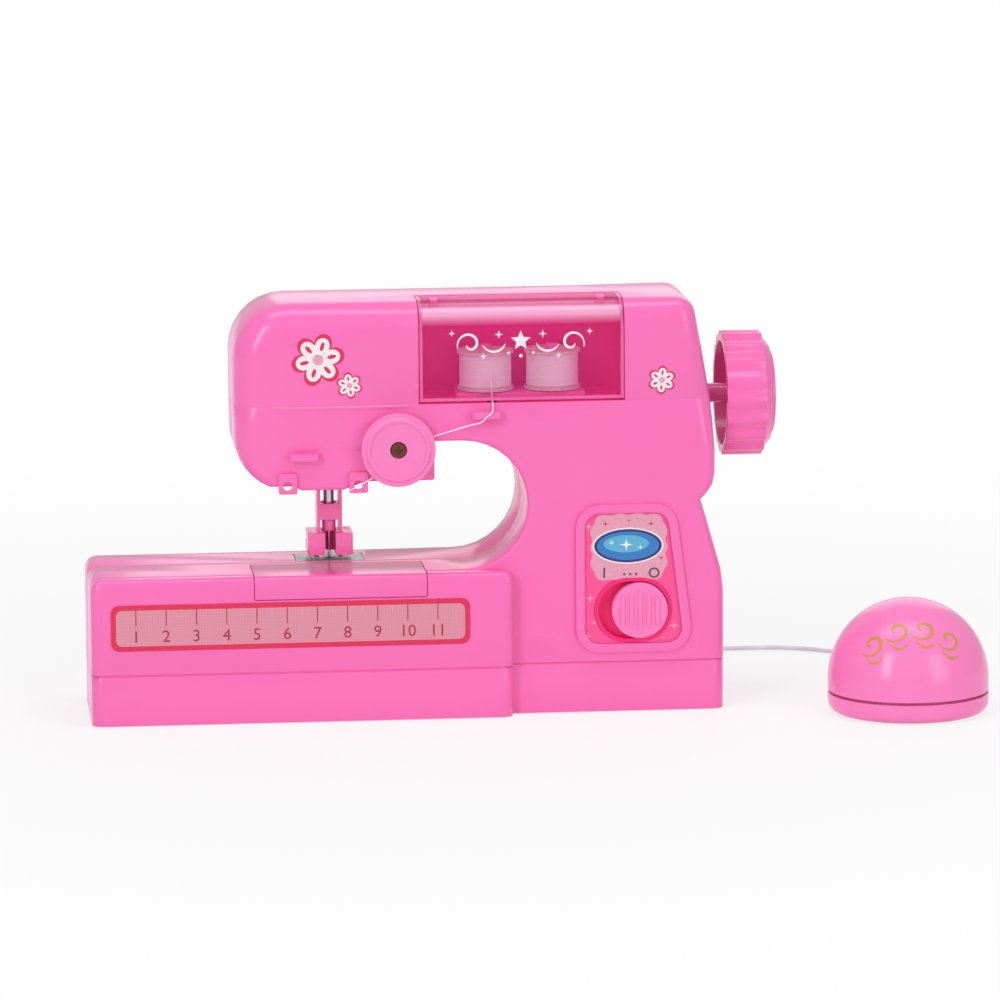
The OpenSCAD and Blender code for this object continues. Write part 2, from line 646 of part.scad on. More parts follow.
module upper_thread() {
    color([0.98, 0.9, 0.94]) tube(thread_pts, thread_r, 6, [1, 0, 0]);
}

// Drive

function idler_at(a, b, d) = let (m = (a + b) / 2, v = b - a, h = sqrt(d * d - v * v / 4))
    m + h * unit([-v[1], v[0]]);
function roll(r, rb) = let (t = sqrt(max(pow(r / rb, 2) - 1, 0))) t * 180 / PI - atan(t);
function flank(z, r) = let (p = gear_m * z / 2, rb = p * cos(25))
    90 / z - 0.07 / p * 180 / PI + roll(p, rb) - roll(max(r, rb), rb);
function tooth_radii(z) = let (p = gear_m * z / 2, rb = p * cos(25), root = p - 1.1 * gear_m, tip = p + 0.8 * gear_m,
    low = max(rb, root)) concat(rb > root ? [root] : [], [for (k = [0:4]) low + (tip - low) * k / 4]);
function gear_points(z) = let (rs = tooth_radii(z), n = len(rs)) [for (i = [0:z - 1]) each concat(
    [for (k = [0:n - 1]) rs[k] * [cos(360 * i / z - flank(z, rs[k])), sin(360 * i / z - flank(z, rs[k]))]],
    [for (k = [n - 1:-1:0]) rs[k] * [cos(360 * i / z + flank(z, rs[k])), sin(360 * i / z + flank(z, rs[k]))]])];
function bearing(a, b) = atan2(b[1] - a[1], b[0] - a[0]);
module gear(x, c, z, w, turn) {
    translate([0, c[0], c[1]]) sideways(x, w) rotate(turn) polygon(gear_points(z));
}
to_main = bearing(idler, [shaft_y, shaft_z]);
to_motor = bearing(idler, [motor_y, motor_z]);

module head_frame() {
    color(grey) difference() {
        union() {
            translate([frame_l, inner_y - frame_t, guide_z]) cube([frame_r - frame_l, frame_t, frame_top - guide_z]);
            translate([frame_r - frame_t, -4, guide_z]) cube([frame_t, inner_y + 4, frame_top - guide_z]);
            translate([frame_l, shaft_y - 6.2, guide_z])
                cube([frame_r - frame_l - 1.5, inner_y - shaft_y + 6.2, guide_t]);
            translate([frame_l, shaft_y - 5, frame_top - 3])
                cube([frame_r - frame_l - 1.5, inner_y - shaft_y + 5, 3]);
        }
        along_x(frame_r - 5.5, shaft_y, shaft_z, shaft_r + run_fit, 10);
        translate([needle_x, shaft_y, frame_top - 5]) cylinder(r = bar_r + run_fit, h = 8);
        translate([needle_x - sleeve_w / 2 - run_fit, shaft_y - sleeve_w / 2 - run_fit, guide_z - 1])
            cube([sleeve_w + 2 * run_fit, sleeve_w + 2 * run_fit, guide_t + 2]);
    }
}
module gear_frame() {
    h = shaft_z - motor_z + 20;
    color(grey) difference() {
        union() {
            translate([gear_x, inner_y - 2, motor_z - 12]) cube([15.4, 2, h]);
            translate([gear_x, motor_y - 8, motor_z - 12]) cube([2, inner_y - motor_y + 8, h]);
            translate([gear_x + 13.4, motor_y - 8, motor_z - 12]) cube([2, inner_y - motor_y + 8, h]);
        }
        along_x(gear_x - 1, shaft_y, shaft_z, shaft_r + run_fit, 20);
        along_x(gear_x - 1, idler[0], idler[1], 1.02, 20);
        along_x(gear_x - 1, motor_y, motor_z, 3.05, 4);
    }
}
module main_shaft() {
    color(steel) along_x(needle_x + 6.6, shaft_y, shaft_z, shaft_r, col_x + 2 - needle_x - 6.6);
}
module wheel_ring(r) {
    polygon([for (k = [0:8 * wheel_flutes - 1]) let (a = 360 * k / (8 * wheel_flutes))
        (r - 0.55 + 0.55 * cos(a * wheel_flutes)) * [cos(a), sin(a)]]);
}
module handwheel() {
    x = col_x + 2.4;
    color(pink) difference() {
        union() {
            translate([0, shaft_y, shaft_z]) sideways(x, wheel_w - 3.6) wheel_ring(wheel_r);
            translate([x + wheel_w - 3.6, shaft_y, shaft_z]) rotate([0, 90, 0])
                cylinder(r1 = wheel_r - 1.7, r2 = wheel_r - 4.6, h = 2.6);
            along_x(x + wheel_w - 1.2, shaft_y, shaft_z, wheel_r - 7, 1.2);
        }
        along_x(x - 1, shaft_y, shaft_z, wheel_r - 3.4, wheel_w - 5);
        along_x(x, shaft_y, shaft_z, shaft_r, wheel_w - 1);
    }
    color(pink) difference() {
        along_x(col_x - 8, shaft_y, shaft_z, 3.2, wheel_w + 5);
        along_x(col_x - 9, shaft_y, shaft_z, shaft_r, wheel_w + 5);
    }
}
module crank_disc() {
    color(grey) {
        difference() {
            along_x(needle_x + 4.1, shaft_y, shaft_z, crank_r + 2.2, 2.5);
            along_x(needle_x + 6.6, shaft_y, shaft_z, shaft_r, 2);
        }
        along_x(needle_x + 2.3, shaft_y, yoke_z, 1.3, 2.3);
    }
}
module main_gear() {
    color(milky) difference() {
        union() {
            gear(gear_x + 8, [shaft_y, shaft_z], big_teeth, 3.5, to_main + 180 + 180 / big_teeth);
            along_x(gear_x + 6.8, shaft_y, shaft_z, 3.4, 6);
        }
        along_x(gear_x, shaft_y, shaft_z, shaft_r, 16);
    }
}
module pulley(x, z) {
    color(milky) difference() {
        union() {
            along_x(x, shaft_y, z, pulley_r, 2.2);
            for (p = [x - 0.5, x + 2.2]) along_x(p, shaft_y, z, pulley_r + 0.6, 0.5);
        }
        along_x(x - 2, shaft_y, z, shaft_r, 8);
    }
}
module upper_pulley() pulley(gear_x - 3.3, shaft_z);
module lower_pulley() pulley(gear_x - 3.3, low_shaft_z);
module belt_loop(r) {
    translate([shaft_y, shaft_z]) circle(r);
    translate([shaft_y, low_shaft_z]) circle(r);
    translate([shaft_y - r, low_shaft_z]) square([2 * r, shaft_z - low_shaft_z]);
}
module drive_belt() {
    color([0.15, 0.15, 0.16]) sideways(gear_x - 3, 1.6) difference() {
        belt_loop(pulley_r + run_fit + belt_t);
        belt_loop(pulley_r + run_fit);
    }
}
module idler_pin() {
    color(steel) along_x(gear_x, idler[0], idler[1], 1, 15.4);
}
module idler_gear() {
    color(milky) difference() {
        union() {
            gear(gear_x + 2.6, idler, big_teeth, 3.5, to_motor);
            gear(gear_x + 6, idler, small_teeth, 6, to_main);
        }
        along_x(gear_x, idler[0], idler[1], 1 + run_fit, 20);
    }
}
module motor() {
    color(steel) difference() {
        union() {
            intersection() {
                along_x(gear_x - 25, motor_y, motor_z, 10.05, 25);
                translate([gear_x - 30, motor_y - 7.5, motor_z - 12]) cube([40, 15, 24]);
            }
            along_x(gear_x - 26.6, motor_y, motor_z, 3, 2);
            along_x(gear_x - 1, motor_y, motor_z, 3, 2.6);
        }
        along_x(gear_x - 6, motor_y, motor_z, 1 + run_fit, 10);
    }
}
module motor_pinion() {
    color(brass) {
        gear(gear_x + 2.4, [motor_y, motor_z], small_teeth, 4, to_motor + 180 + 180 / small_teeth);
        along_x(gear_x - 5.6, motor_y, motor_z, 1, 9);
    }
}
module lower_shaft() {
    color(steel) along_x(needle_x + 3.6, shaft_y, low_shaft_z, shaft_r, gear_x - 0.5 - needle_x - 3.6);
}
module looper() {
    color(grey) difference() {
        union() {
            along_x(needle_x + 3, shaft_y, low_shaft_z, 6.4, 2.4);
            sideways(needle_x + 3, 2.4) translate([shaft_y, low_shaft_z])
                polygon([[-6, 0], [-6, 5.6], [-2, 8], [3, 8.2], [-3.4, 5.4], [-4, 0]]);
        }
        along_x(needle_x + 3.6, shaft_y, low_shaft_z, shaft_r, 4);
    }
}
module shaft_posts() {
    color(grey) for (x = [needle_x + 12.6, bat_x - 13]) difference() {
        translate([x, shaft_y - 4, wall]) cube([4, 8, low_shaft_z + 3]);
        along_x(x - 1, shaft_y, low_shaft_z, shaft_r + run_fit, 6);
    }
}

// Sewing head

module needle_bar() {
    color(steel) {
        translate([needle_x, shaft_y, bar_z]) cylinder(r = bar_r, h = yoke_z + 21.5 - bar_z);
        difference() {
            translate([needle_x - 2.6, shaft_y - 8, yoke_z - 2.4]) cube([4.6, 16, 4.8]);
            translate([needle_x + 1, shaft_y - 7.2, yoke_z - 1.5]) cube([4, 14.4, 3]);
        }
    }
}
module needle_clamp() {
    color(grey) difference() {
        translate([needle_x, shaft_y, bar_z - 1.6]) cylinder(r = bar_r + 0.55, h = 4);
        translate([needle_x, shaft_y, bar_z]) cylinder(r = bar_r, h = 6);
        translate([needle_x, shaft_y, bar_z - 3]) cylinder(r = 0.55, h = 6);
    }
}
module needle() {
    color(steel) translate([needle_x, shaft_y, bar_z]) mirror([0, 0, 1]) {
        cylinder(r = 0.55, h = 10.4);
        translate([0, 0, 10.4]) cylinder(r1 = 0.55, r2 = 0.12, h = 3);
    }
}
module presser_foot() {
    color(pink) difference() {
        union() {
            translate([needle_x - foot_w / 2, shaft_y - foot_d / 2, foot_z])
                linear_extrude(foot_h) rounded(foot_w, foot_d, 1);
            translate([needle_x - sleeve_w / 2, shaft_y - sleeve_w / 2, foot_z + foot_h - 1])
                cube([sleeve_w, sleeve_w, sleeve_top - foot_z - foot_h + 1]);
            translate([needle_x - 5.6, shaft_y - 5.6, sleeve_top - flange_h]) cube([11.2, 11.2, flange_h]);
        }
        translate([needle_x, shaft_y, foot_z - 1]) cylinder(r = bar_r + 0.95, h = sleeve_top - foot_z - 3);
        translate([needle_x, shaft_y, foot_z]) cylinder(r = bar_r + run_fit, h = 60);
        translate([needle_x - 1.8, shaft_y - foot_d, foot_z - 1]) cube([3.6, foot_d, foot_h + 4.8]);
        translate([needle_x - 3.1, shaft_y - 10, foot_z + foot_h]) cube([6.2, 20, 3.8]);
        translate([needle_x - 3.1, shaft_y - 10, foot_z + foot_h + 9.2]) cube([6.2, 20, 9]);
        translate([needle_x - foot_w, shaft_y + foot_d / 2 - 3, foot_z + 3]) cube([2 * foot_w, 5, foot_h]);
    }
}

// Control panel

function corner(p, q, s, r, n) = let (u = unit(p - q), v = unit(s - q), h = acos(u * v) / 2,
    c = q + unit(u + v) * r / sin(h), b0 = bearing(c, q + u * r / tan(h)), b1 = bearing(c, q + v * r / tan(h)),
    w = (b1 - b0 + 720) % 360) [for (k = [0:n]) c + r * [cos(b0 + w * k / n), sin(b0 + w * k / n)]];
function softened(pts, r, n) = let (m = len(pts)) [for (i = [0:m - 1]) each
    corner(pts[(i + m - 1) % m], pts[i], pts[(i + 1) % m], r, n)];
module panel_rim() {
    color(pink) upright(-half_d, 1.2) difference() {
        polygon(softened(panel_pts, 8, 6));
        polygon(softened(inset(panel_pts, rim_w), 5, 6));
    }
}
module panel_label() {
    color(deep_pink) upright(-half_d, 0.3) difference() {
        polygon(softened(inset(panel_pts, rim_w + 0.1), 5, 6));
        stadium(knob_x, knob_z, cup_r + 0.1, knob_travel);
    }
}
module switch_cup() {
    color(pink) difference() {
        upright(4.5 - half_d, 5.1) stadium(knob_x, knob_z, cup_r, knob_travel);
        upright(3 - half_d, 6) stadium(knob_x, knob_z, recess_r, knob_travel);
        translate([knob_x - knob_travel - 2, -half_d, knob_z - 1.9]) cube([knob_travel + 4, 8, 3.8]);
    }
}
module switch_knob() {
    color(pink) {
        along_y(knob_x, -half_d - 2, knob_z, knob_r, 4.6);
        for (k = [-2:2]) translate([knob_x + 2.9 * k - 0.6, -half_d - 2.7, knob_z - 6.4 + abs(k) * 0.7])
            cube([1.2, 1, 12.8 - abs(k) * 1.4]);
        translate([knob_x - 1.5, 2 - half_d, knob_z - 1.5]) cube([3, 5.5, 3]);
    }
}
module slide_switch() {
    color(grey) difference() {
        translate([knob_x - knob_travel - 5, 4.5 - half_d, knob_z - 4]) cube([knob_travel + 10, 6, 8]);
        translate([knob_x - knob_travel - 2, 4 - half_d, knob_z - 1.9]) cube([knob_travel + 4, 4.5, 3.8]);
    }
}
module ruler_label() {
    color([0.85, 0.45, 0.6]) upright(bed_y, 0.25) translate([bed_l + 6.5, base_h + 8.2])
        rounded(bed_r - bed_l - 21, 15.4, 2.8);
}

// Lead and foot switch

module machine_gland() {
    color(milky) {
        along_y(gland_x, half_d - 3.2, gland_z, 2.15, 3.2);
        along_y(gland_x, half_d, gland_z, 2.8, 1.2);
    }
}
module pedal_cord() {
    color(milky) tube(cord_pts, cord_r, 8, [1, 0, 0]);
}
// A soft tie round the coil's turns.
module cord_tie() {
    z0 = cord_low + 0.75 * coil_rise - cord_r - 0.8;
    h = (coil_turns - 1.5) * coil_rise + cord_d + 1.6;
    color(milky) translate([coil_x + coil_r - cord_r - 1.2, coil_y - 0.8, z0]) difference() {
        cube([cord_d + 2, 1.6, h]);
        translate([0.4, -1, 0.4]) cube([cord_d + 1.2, 4, h - 0.8]);
    }
}
module pedal_gland() {
    color(milky) along_y(pedal_x, pedal_y + pedal_r - 3.4, 3.4, 1.6, 5);
}
module at_pedal() {
    translate([pedal_x, pedal_y, 0]) children();
}
module pedal_base() {
    color(pink) difference() {
        at_pedal() union() {
            rotate_extrude() difference() {
                union() {
                    square([pedal_r - 4, 4]);
                    translate([0, 4]) square([pedal_r, pedal_rim - pedal_gap - 4]);
                    translate([pedal_r - 4, 4]) circle(4);
                }
                translate([-40, -1]) square([40, 20]);
                translate([-1, 2]) square([pedal_r - pedal_wall + 1, 20]);
                translate([0, pedal_rim - pedal_gap]) square([2 * pedal_r, 20]);
            }
            difference() {
                translate([0, 0, 1]) cylinder(r = pedal_r - pedal_wall - gap, h = pedal_rim + 1.4);
                cylinder(r = pedal_r - pedal_wall - gap - 1, h = 20);
            }
            difference() {
                translate([0, 0, 1]) cylinder(r = pedal_r - pedal_wall + 0.5, h = 3.4);
                cylinder(r = pedal_r - pedal_wall - gap - 1, h = 20);
            }
        }
        along_y(pedal_x, pedal_y + pedal_r - 6, 3.4, 1.6, 8);
    }
}
module dome_section(d) {
    intersection() {
        translate([0, dome_c]) circle(pedal_r - d);
        translate([0, pedal_rim - 1]) square([60, 60]);
    }
    translate([0, pedal_rim - 1]) square([pedal_r - d, dome_c - pedal_rim + 1]);
}
module pedal_dome() {
    color(pink) at_pedal() {
        rotate_extrude() difference() {
            dome_section(0);
            dome_section(pedal_wall);
            translate([-1, 0]) square([60, pedal_rim]);
        }
        translate([0, 0, 11.3]) cylinder(r = 3, h = pedal_h - 12.4);
        difference() {
            translate([0, 0, 15]) cylinder(r = 10, h = pedal_h - 19);
            translate([0, 0, 14]) cylinder(r = 8, h = pedal_h);
        }
    }
}
module pedal_spring() {
    color(steel) at_pedal() translate([0, 0, 2.5]) tube(helix(9, 2.95, 4, 12), 0.45, 6, [1, 0, 0]);
}
module pedal_switch() {
    color(grey) at_pedal() {
        translate([-6, -6, 2]) cube([12, 12, 5]);
        translate([0, 0, 6]) cylinder(r = 1.8, h = 4.2);
    }
}

base_tray();
battery_door();
battery_cells();
battery_contacts();
front_shell();
rear_shell();
bed_apron();
bed_cover();
needle_plate();
top_cover();
spool_tray();
spool_seat();
spool_door();
spool_left();
thread_left();
spool_right();
thread_right();
tension_dial();
dial_screw();
thread_guides();
eyelet_lugs();
upper_thread();
head_frame();
gear_frame();
main_shaft();
handwheel();
crank_disc();
main_gear();
upper_pulley();
idler_pin();
idler_gear();
motor();
motor_pinion();
drive_belt();
lower_shaft();
lower_pulley();
looper();
shaft_posts();
needle_bar();
needle_clamp();
needle();
presser_foot();
casing_screws();
door_screw();
panel_rim();
panel_label();
switch_cup();
switch_knob();
slide_switch();
ruler_label();
machine_gland();
pedal_cord();
cord_tie();
pedal_gland();
pedal_base();
pedal_dome();
pedal_spring();
pedal_switch();
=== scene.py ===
import math
import random

import bmesh
import bpy
from bpy.props import FloatProperty, FloatVectorProperty, IntProperty, PointerProperty
from mathutils import Matrix, Vector


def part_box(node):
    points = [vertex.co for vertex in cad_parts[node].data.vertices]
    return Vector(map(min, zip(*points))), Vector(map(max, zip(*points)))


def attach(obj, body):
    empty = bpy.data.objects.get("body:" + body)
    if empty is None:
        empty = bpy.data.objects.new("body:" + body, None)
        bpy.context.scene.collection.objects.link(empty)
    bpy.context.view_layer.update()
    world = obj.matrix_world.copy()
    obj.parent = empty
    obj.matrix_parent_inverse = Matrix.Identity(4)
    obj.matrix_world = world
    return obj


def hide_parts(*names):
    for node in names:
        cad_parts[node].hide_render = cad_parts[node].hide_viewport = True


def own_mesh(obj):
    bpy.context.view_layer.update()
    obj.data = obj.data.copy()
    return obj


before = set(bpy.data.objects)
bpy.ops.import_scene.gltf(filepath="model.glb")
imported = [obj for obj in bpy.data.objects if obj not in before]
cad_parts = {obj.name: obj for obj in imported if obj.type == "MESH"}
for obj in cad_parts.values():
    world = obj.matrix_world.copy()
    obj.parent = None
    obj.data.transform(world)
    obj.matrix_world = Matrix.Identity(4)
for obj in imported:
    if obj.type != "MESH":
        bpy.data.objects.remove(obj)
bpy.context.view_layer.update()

bl_info = {
    "name": "Toy Sewing Machine",
    "version": (1, 0, 0),
    "blender": (4, 5, 0),
    "location": "View3D > Sidebar > Toy",
    "description": "Dresses the packed toy sewing machine with its finishes, prints, thread and lead",
    "category": "Object",
}

# Places and outlines are in millimetres, and MM turns them into metres
MM = 0.001
# Height of the seam between the front shell and the top cover
COVER_SEAM = 104.8


def tint(name, description, value):
    return FloatVectorProperty(
        name=name, description=description, default=value, subtype="COLOR", min=0, max=1
    )


def size(name, description, value):
    return FloatProperty(
        name=name, description=description, default=value, unit="LENGTH", subtype="DISTANCE", precision=5
    )


class ToyColours(bpy.types.PropertyGroup):
    """Colours of the plastics, prints and threads."""

    casing: tint("Casing", "Moulded plastic of the casing and handwheel", (0.955, 0.168, 0.495))
    # The fittings pink is paler than the casing; on the presser foot and needle clamp it is painted light,
    # making them look more brightly lit than the arm's casing.
    fittings: tint("Fittings", "Paler plastic of the small fittings and the foot switch", (0.985, 0.225, 0.555))
    inside: tint("Inside", "Deeper plastic of the spool tray and recesses", (0.97, 0.010, 0.21))
    door: tint("Door", "Clear tinted plastic of the spool door", (0.95, 0.012, 0.32))
    # The door band is a painted highlight: a paler pink standing in for the light reflected along the door's
    # bent top.
    band: tint("Door band", "Highlight band along the door's bend", (1.0, 0.46, 0.72))
    spool: tint("Spool", "Milky plastic of the spools", (0.86, 0.80, 0.82))
    thread: tint("Thread", "Sewing thread", (0.87, 0.87, 0.96))
    label: tint("Label", "Ground of the panel label", (1.0, 0.085, 0.32))
    crimson: tint("Crimson", "Flower edges and ruler border", (0.76, 0.017, 0.09))
    ruler_ink: tint("Ruler ink", "Ticks and numbers of the ruler", (0.42, 0.012, 0.06))
    field: tint("Field", "Pale field on the panel label", (0.80, 0.36, 0.48))
    ruler: tint("Ruler", "Ground of the ruler", (0.76, 0.29, 0.38))
    ink: tint("Ink", "Dark signs of the switch positions", (0.12, 0.05, 0.12))
    white: tint("White ink", "White of the flowers, curls and stars", (0.90, 0.84, 0.88))
    badge_rim: tint("Badge rim", "Rim of the plain oval badge", (0.02, 0.03, 0.16))
    badge: tint("Badge", "Ground of the plain oval badge", (0.03, 0.20, 0.55))
    badge_light: tint("Badge light", "Lit middle of the plain oval badge", (0.10, 0.45, 0.70))
    gold: tint("Gold", "Scrolls on the foot switch", (0.62, 0.31, 0.06))
    lead: tint("Lead", "Jacket of the lead", (0.84, 0.83, 0.90))
    steel: tint("Steel", "Needle, bar and shafts", (0.62, 0.62, 0.64))
    brass: tint("Brass", "Contacts", (0.62, 0.42, 0.20))
    bronze: tint("Bronze", "Screw of the tension dial", (0.17, 0.075, 0.04))


class ToySizes(bpy.types.PropertyGroup):
    """Sizes of the drawn pieces."""

    edge: size("Edge", "Softening of the moulded edges", 0.00025)
    print_rise: size("Print rise", "Thickness of a printed layer", 0.00004)
    winding_d: size("Winding thread", "Thickness of the thread on the spools", 0.00062)
    winding_pitch: size("Winding pitch", "Rise of the winding a turn", 0.00052)
    thread_d: size("Thread", "Thickness of the thread that runs over the dial", 0.00044)
    lead_d: size("Lead", "Thickness of the lead", 0.0016)
    flower: size("Flower", "Width of the large flower", 0.0178)
    petals: IntProperty(name="Petals", description="Petals of a flower", default=6, min=4, max=9)


def colours():
    return bpy.context.scene.toy_colours


def sizes():
    return bpy.context.scene.toy_sizes


# Finishes


def maths(tree, operation, first, second):
    """A Math node on two sockets, or on a socket and a number."""
    made = tree.nodes.new("ShaderNodeMath")
    made.operation = operation
    for target, source in zip(made.inputs, (first, second)):
        if isinstance(source, bpy.types.NodeSocket):
            tree.links.new(source, target)
        else:
            target.default_value = source
    return made.outputs[0]


class Finish:
    """A node material: the Principled shader and the textures that vary it."""

    def __init__(self, name, colour, roughness, **sockets):
        self.mat = bpy.data.materials.new(name)
        self.mat.use_nodes = True
        self.tree = self.mat.node_tree
        self.shader = self.tree.nodes["Principled BSDF"]
        self.colour = Vector(colour)
        self.shader.inputs["Base Color"].default_value = (*colour, 1)
        self.shader.inputs["Roughness"].default_value = roughness
        for socket, value in sockets.items():
            self.shader.inputs[socket.replace("_", " ")].default_value = value
        self.place = self.tree.nodes.new("ShaderNodeTexCoord").outputs["Object"]

    def node(self, kind, **inputs):
        made = self.tree.nodes.new(kind)
        for key, value in inputs.items():
            made.inputs[key.replace("_", " ")].default_value = value
        return made

    def join(self, source, target):
        self.tree.links.new(source, target)

    def noise(self, scale, detail=3.0, stretch=None):
        made = self.node("ShaderNodeTexNoise", Scale=scale, Detail=detail)
        where = self.place
        if stretch:
            mapping = self.node("ShaderNodeMapping", Scale=stretch)
            self.join(where, mapping.inputs["Vector"])
            where = mapping.outputs["Vector"]
        self.join(where, made.inputs["Vector"])
        return made.outputs["Fac"]

    def bands(self, scale, direction):
        made = self.node("ShaderNodeTexWave", Scale=scale, Distortion=0.4, Detail=1.0)
        made.bands_direction = direction
        self.join(self.place, made.inputs["Vector"])
        return made.outputs["Fac"]

    def ramp(self, value, start, end, low=0.0, high=1.0):
        made = self.node("ShaderNodeMapRange", From_Min=start, From_Max=end, To_Min=low, To_Max=high)
        self.join(value, made.inputs["Value"])
        return made.outputs["Result"]

    def spread(self, factor, low, high):
        return self.ramp(factor, 0.3, 0.7, low, high)

    def pair(self, operation, first, second):
        return maths(self.tree, operation, first, second)

    def blend(self, factor, under, over):
        """Mixes two colours; under may come from another mix."""
        mix = self.node("ShaderNodeMix")
        mix.data_type = "RGBA"
        if isinstance(under, bpy.types.NodeSocket):
            self.join(under, mix.inputs[6])
        else:
            mix.inputs[6].default_value = (*(min(c, 1) for c in under), 1)
        mix.inputs[7].default_value = (*(min(c, 1) for c in over), 1)
        self.join(factor, mix.inputs[0])
        return mix.outputs[2]

    def vary(self, factor, low, high):
        mixed = self.blend(self.spread(factor, 0, 1), self.colour * low, self.colour * high)
        self.join(mixed, self.shader.inputs["Base Color"])
        return self

    def roughen(self, factor, low, high):
        self.join(self.spread(factor, low, high), self.shader.inputs["Roughness"])
        return self

    def bump(self, height, strength, distance):
        made = self.node("ShaderNodeBump", Strength=strength, Distance=distance)
        self.join(height, made.inputs["Height"])
        self.join(made.outputs["Normal"], self.shader.inputs["Normal"])
        return self


def moulded(name, colour, roughness=0.2, **sockets):
    """Glossy moulded plastic: a faint cloud in the colour, a fine moulded skin."""
    made = Finish(name, colour, roughness, Specular_IOR_Level=0.45, **sockets)
    made.vary(made.noise(14.0, 2.0), 0.985, 1.015)
    made.roughen(made.noise(900.0, 3.0), roughness - 0.012, roughness + 0.018)
    made.bump(made.noise(2600.0, 2.0), 0.012, 0.00002)
    return made.mat


def printed(name, colour, roughness=0.32):
    """Ink on a label: slightly uneven cover."""
    made = Finish(name, colour, roughness)
    made.vary(made.noise(900.0, 4.0), 0.93, 1.05)
    made.roughen(made.noise(300.0), roughness - 0.05, roughness + 0.06)
    made.bump(made.noise(5200.0, 1.0), 0.04, 0.00002)
    return made.mat


def metal(name, colour, roughness, stretch):
    """Drawn or turned metal with fine lines along the stretch."""
    made = Finish(name, colour, roughness, Metallic=1.0)
    made.vary(made.noise(700.0, 3.0, stretch), 0.86, 1.08)
    made.roughen(made.noise(1500.0, 3.0, stretch), roughness - 0.07, roughness + 0.1)
    made.bump(made.noise(3000.0, 2.0, stretch), 0.05, 0.00002)
    return made.mat


def clear_plastic(name, colour, band, lip):
    """Clear tinted plastic of the door, with a painted highlight along its bend (a paler, less clear band
    standing in for the light reflected there) and a solid lip on three sides.
    """
    made = Finish(name, colour, 0.06, IOR=1.49, Coat_Weight=0.4, Coat_Roughness=0.03)
    low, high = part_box("spool_door")
    split = made.node("ShaderNodeSeparateXYZ")
    made.join(made.place, split.inputs[0])
    x, z = split.outputs["X"], split.outputs["Z"]
    bend_low, bend_high, top_low, top_high = 8.1 * MM, 4.5 * MM, 2.6 * MM, 1.4 * MM
    lip_inner, lip_outer = 1.1 * MM, 0.9 * MM
    clear, glare_alpha, solid = 0.19, 0.68, 0.6
    # These ramps mask the painted highlight band along the door's bend.
    bend = made.ramp(z, high.z - bend_low, high.z - bend_high)
    glare_mask = made.pair("MINIMUM", bend, made.ramp(z, high.z - top_high, high.z - top_low))
    left = made.ramp(x, low.x + lip_inner, low.x + lip_outer)
    right = made.ramp(x, high.x - lip_inner, high.x - lip_outer)
    foot = made.ramp(z, low.z + lip_inner, low.z + lip_outer)
    rim = made.pair("MAXIMUM", made.pair("MAXIMUM", left, right), foot)
    # The band colour is blended in here as the painted highlight along the bend; the lip takes the casing pink.
    mixed = made.blend(rim, made.blend(glare_mask, colour, band), lip)
    made.join(mixed, made.shader.inputs["Base Color"])
    # The painted highlight band is also made less clear than the rest of the door.
    veil = made.ramp(glare_mask, 0, 1, clear, glare_alpha)
    veil = made.pair("MAXIMUM", veil, made.ramp(rim, 0, 1, 0, solid))
    made.join(veil, made.shader.inputs["Alpha"])
    made.roughen(made.noise(300.0), 0.04, 0.1)
    made.bump(made.noise(240.0, 1.0), 0.02, 0.00005)
    return made.mat


def milky(name, colour):
    """Milky plastic that lets some light through."""
    made = Finish(name, colour, 0.3, IOR=1.5, Transmission_Weight=0.25)
    made.vary(made.noise(120.0, 3.0), 0.95, 1.04)
    made.roughen(made.noise(500.0), 0.24, 0.38)
    made.bump(made.noise(2400.0, 1.0), 0.04, 0.00003)
    return made.mat


def spun(name, colour):
    """Spun thread: soft, with short fibres."""
    made = Finish(name, colour, 0.8, Sheen_Weight=0.35, Sheen_Roughness=0.5)
    made.vary(made.noise(2200.0, 4.0), 0.86, 1.06)
    made.roughen(made.noise(1500.0), 0.7, 0.9)
    made.bump(made.noise(4200.0, 3.0), 0.35, 0.00006)
    return made.mat


def rubber(name, colour, roughness=0.55):
    """Rubber or soft jacket."""
    made = Finish(name, colour, roughness)
    made.vary(made.noise(160.0, 4.0), 0.92, 1.05)
    made.roughen(made.noise(700.0), roughness - 0.08, roughness + 0.1)
    made.bump(made.noise(2600.0, 2.0), 0.1, 0.00004)
    return made.mat


def woven_print(name, colour):
    """The ruler's ground, printed with a fine cross of lines."""
    made = Finish(name, colour, 0.4)
    lines = made.pair("MULTIPLY", made.bands(330.0, "X"), made.bands(330.0, "Z"))
    made.vary(lines, 0.93, 1.06)
    made.roughen(made.noise(300.0), 0.34, 0.46)
    made.bump(made.noise(4200.0, 1.0), 0.05, 0.00002)
    return made.mat


FINISHES = {}


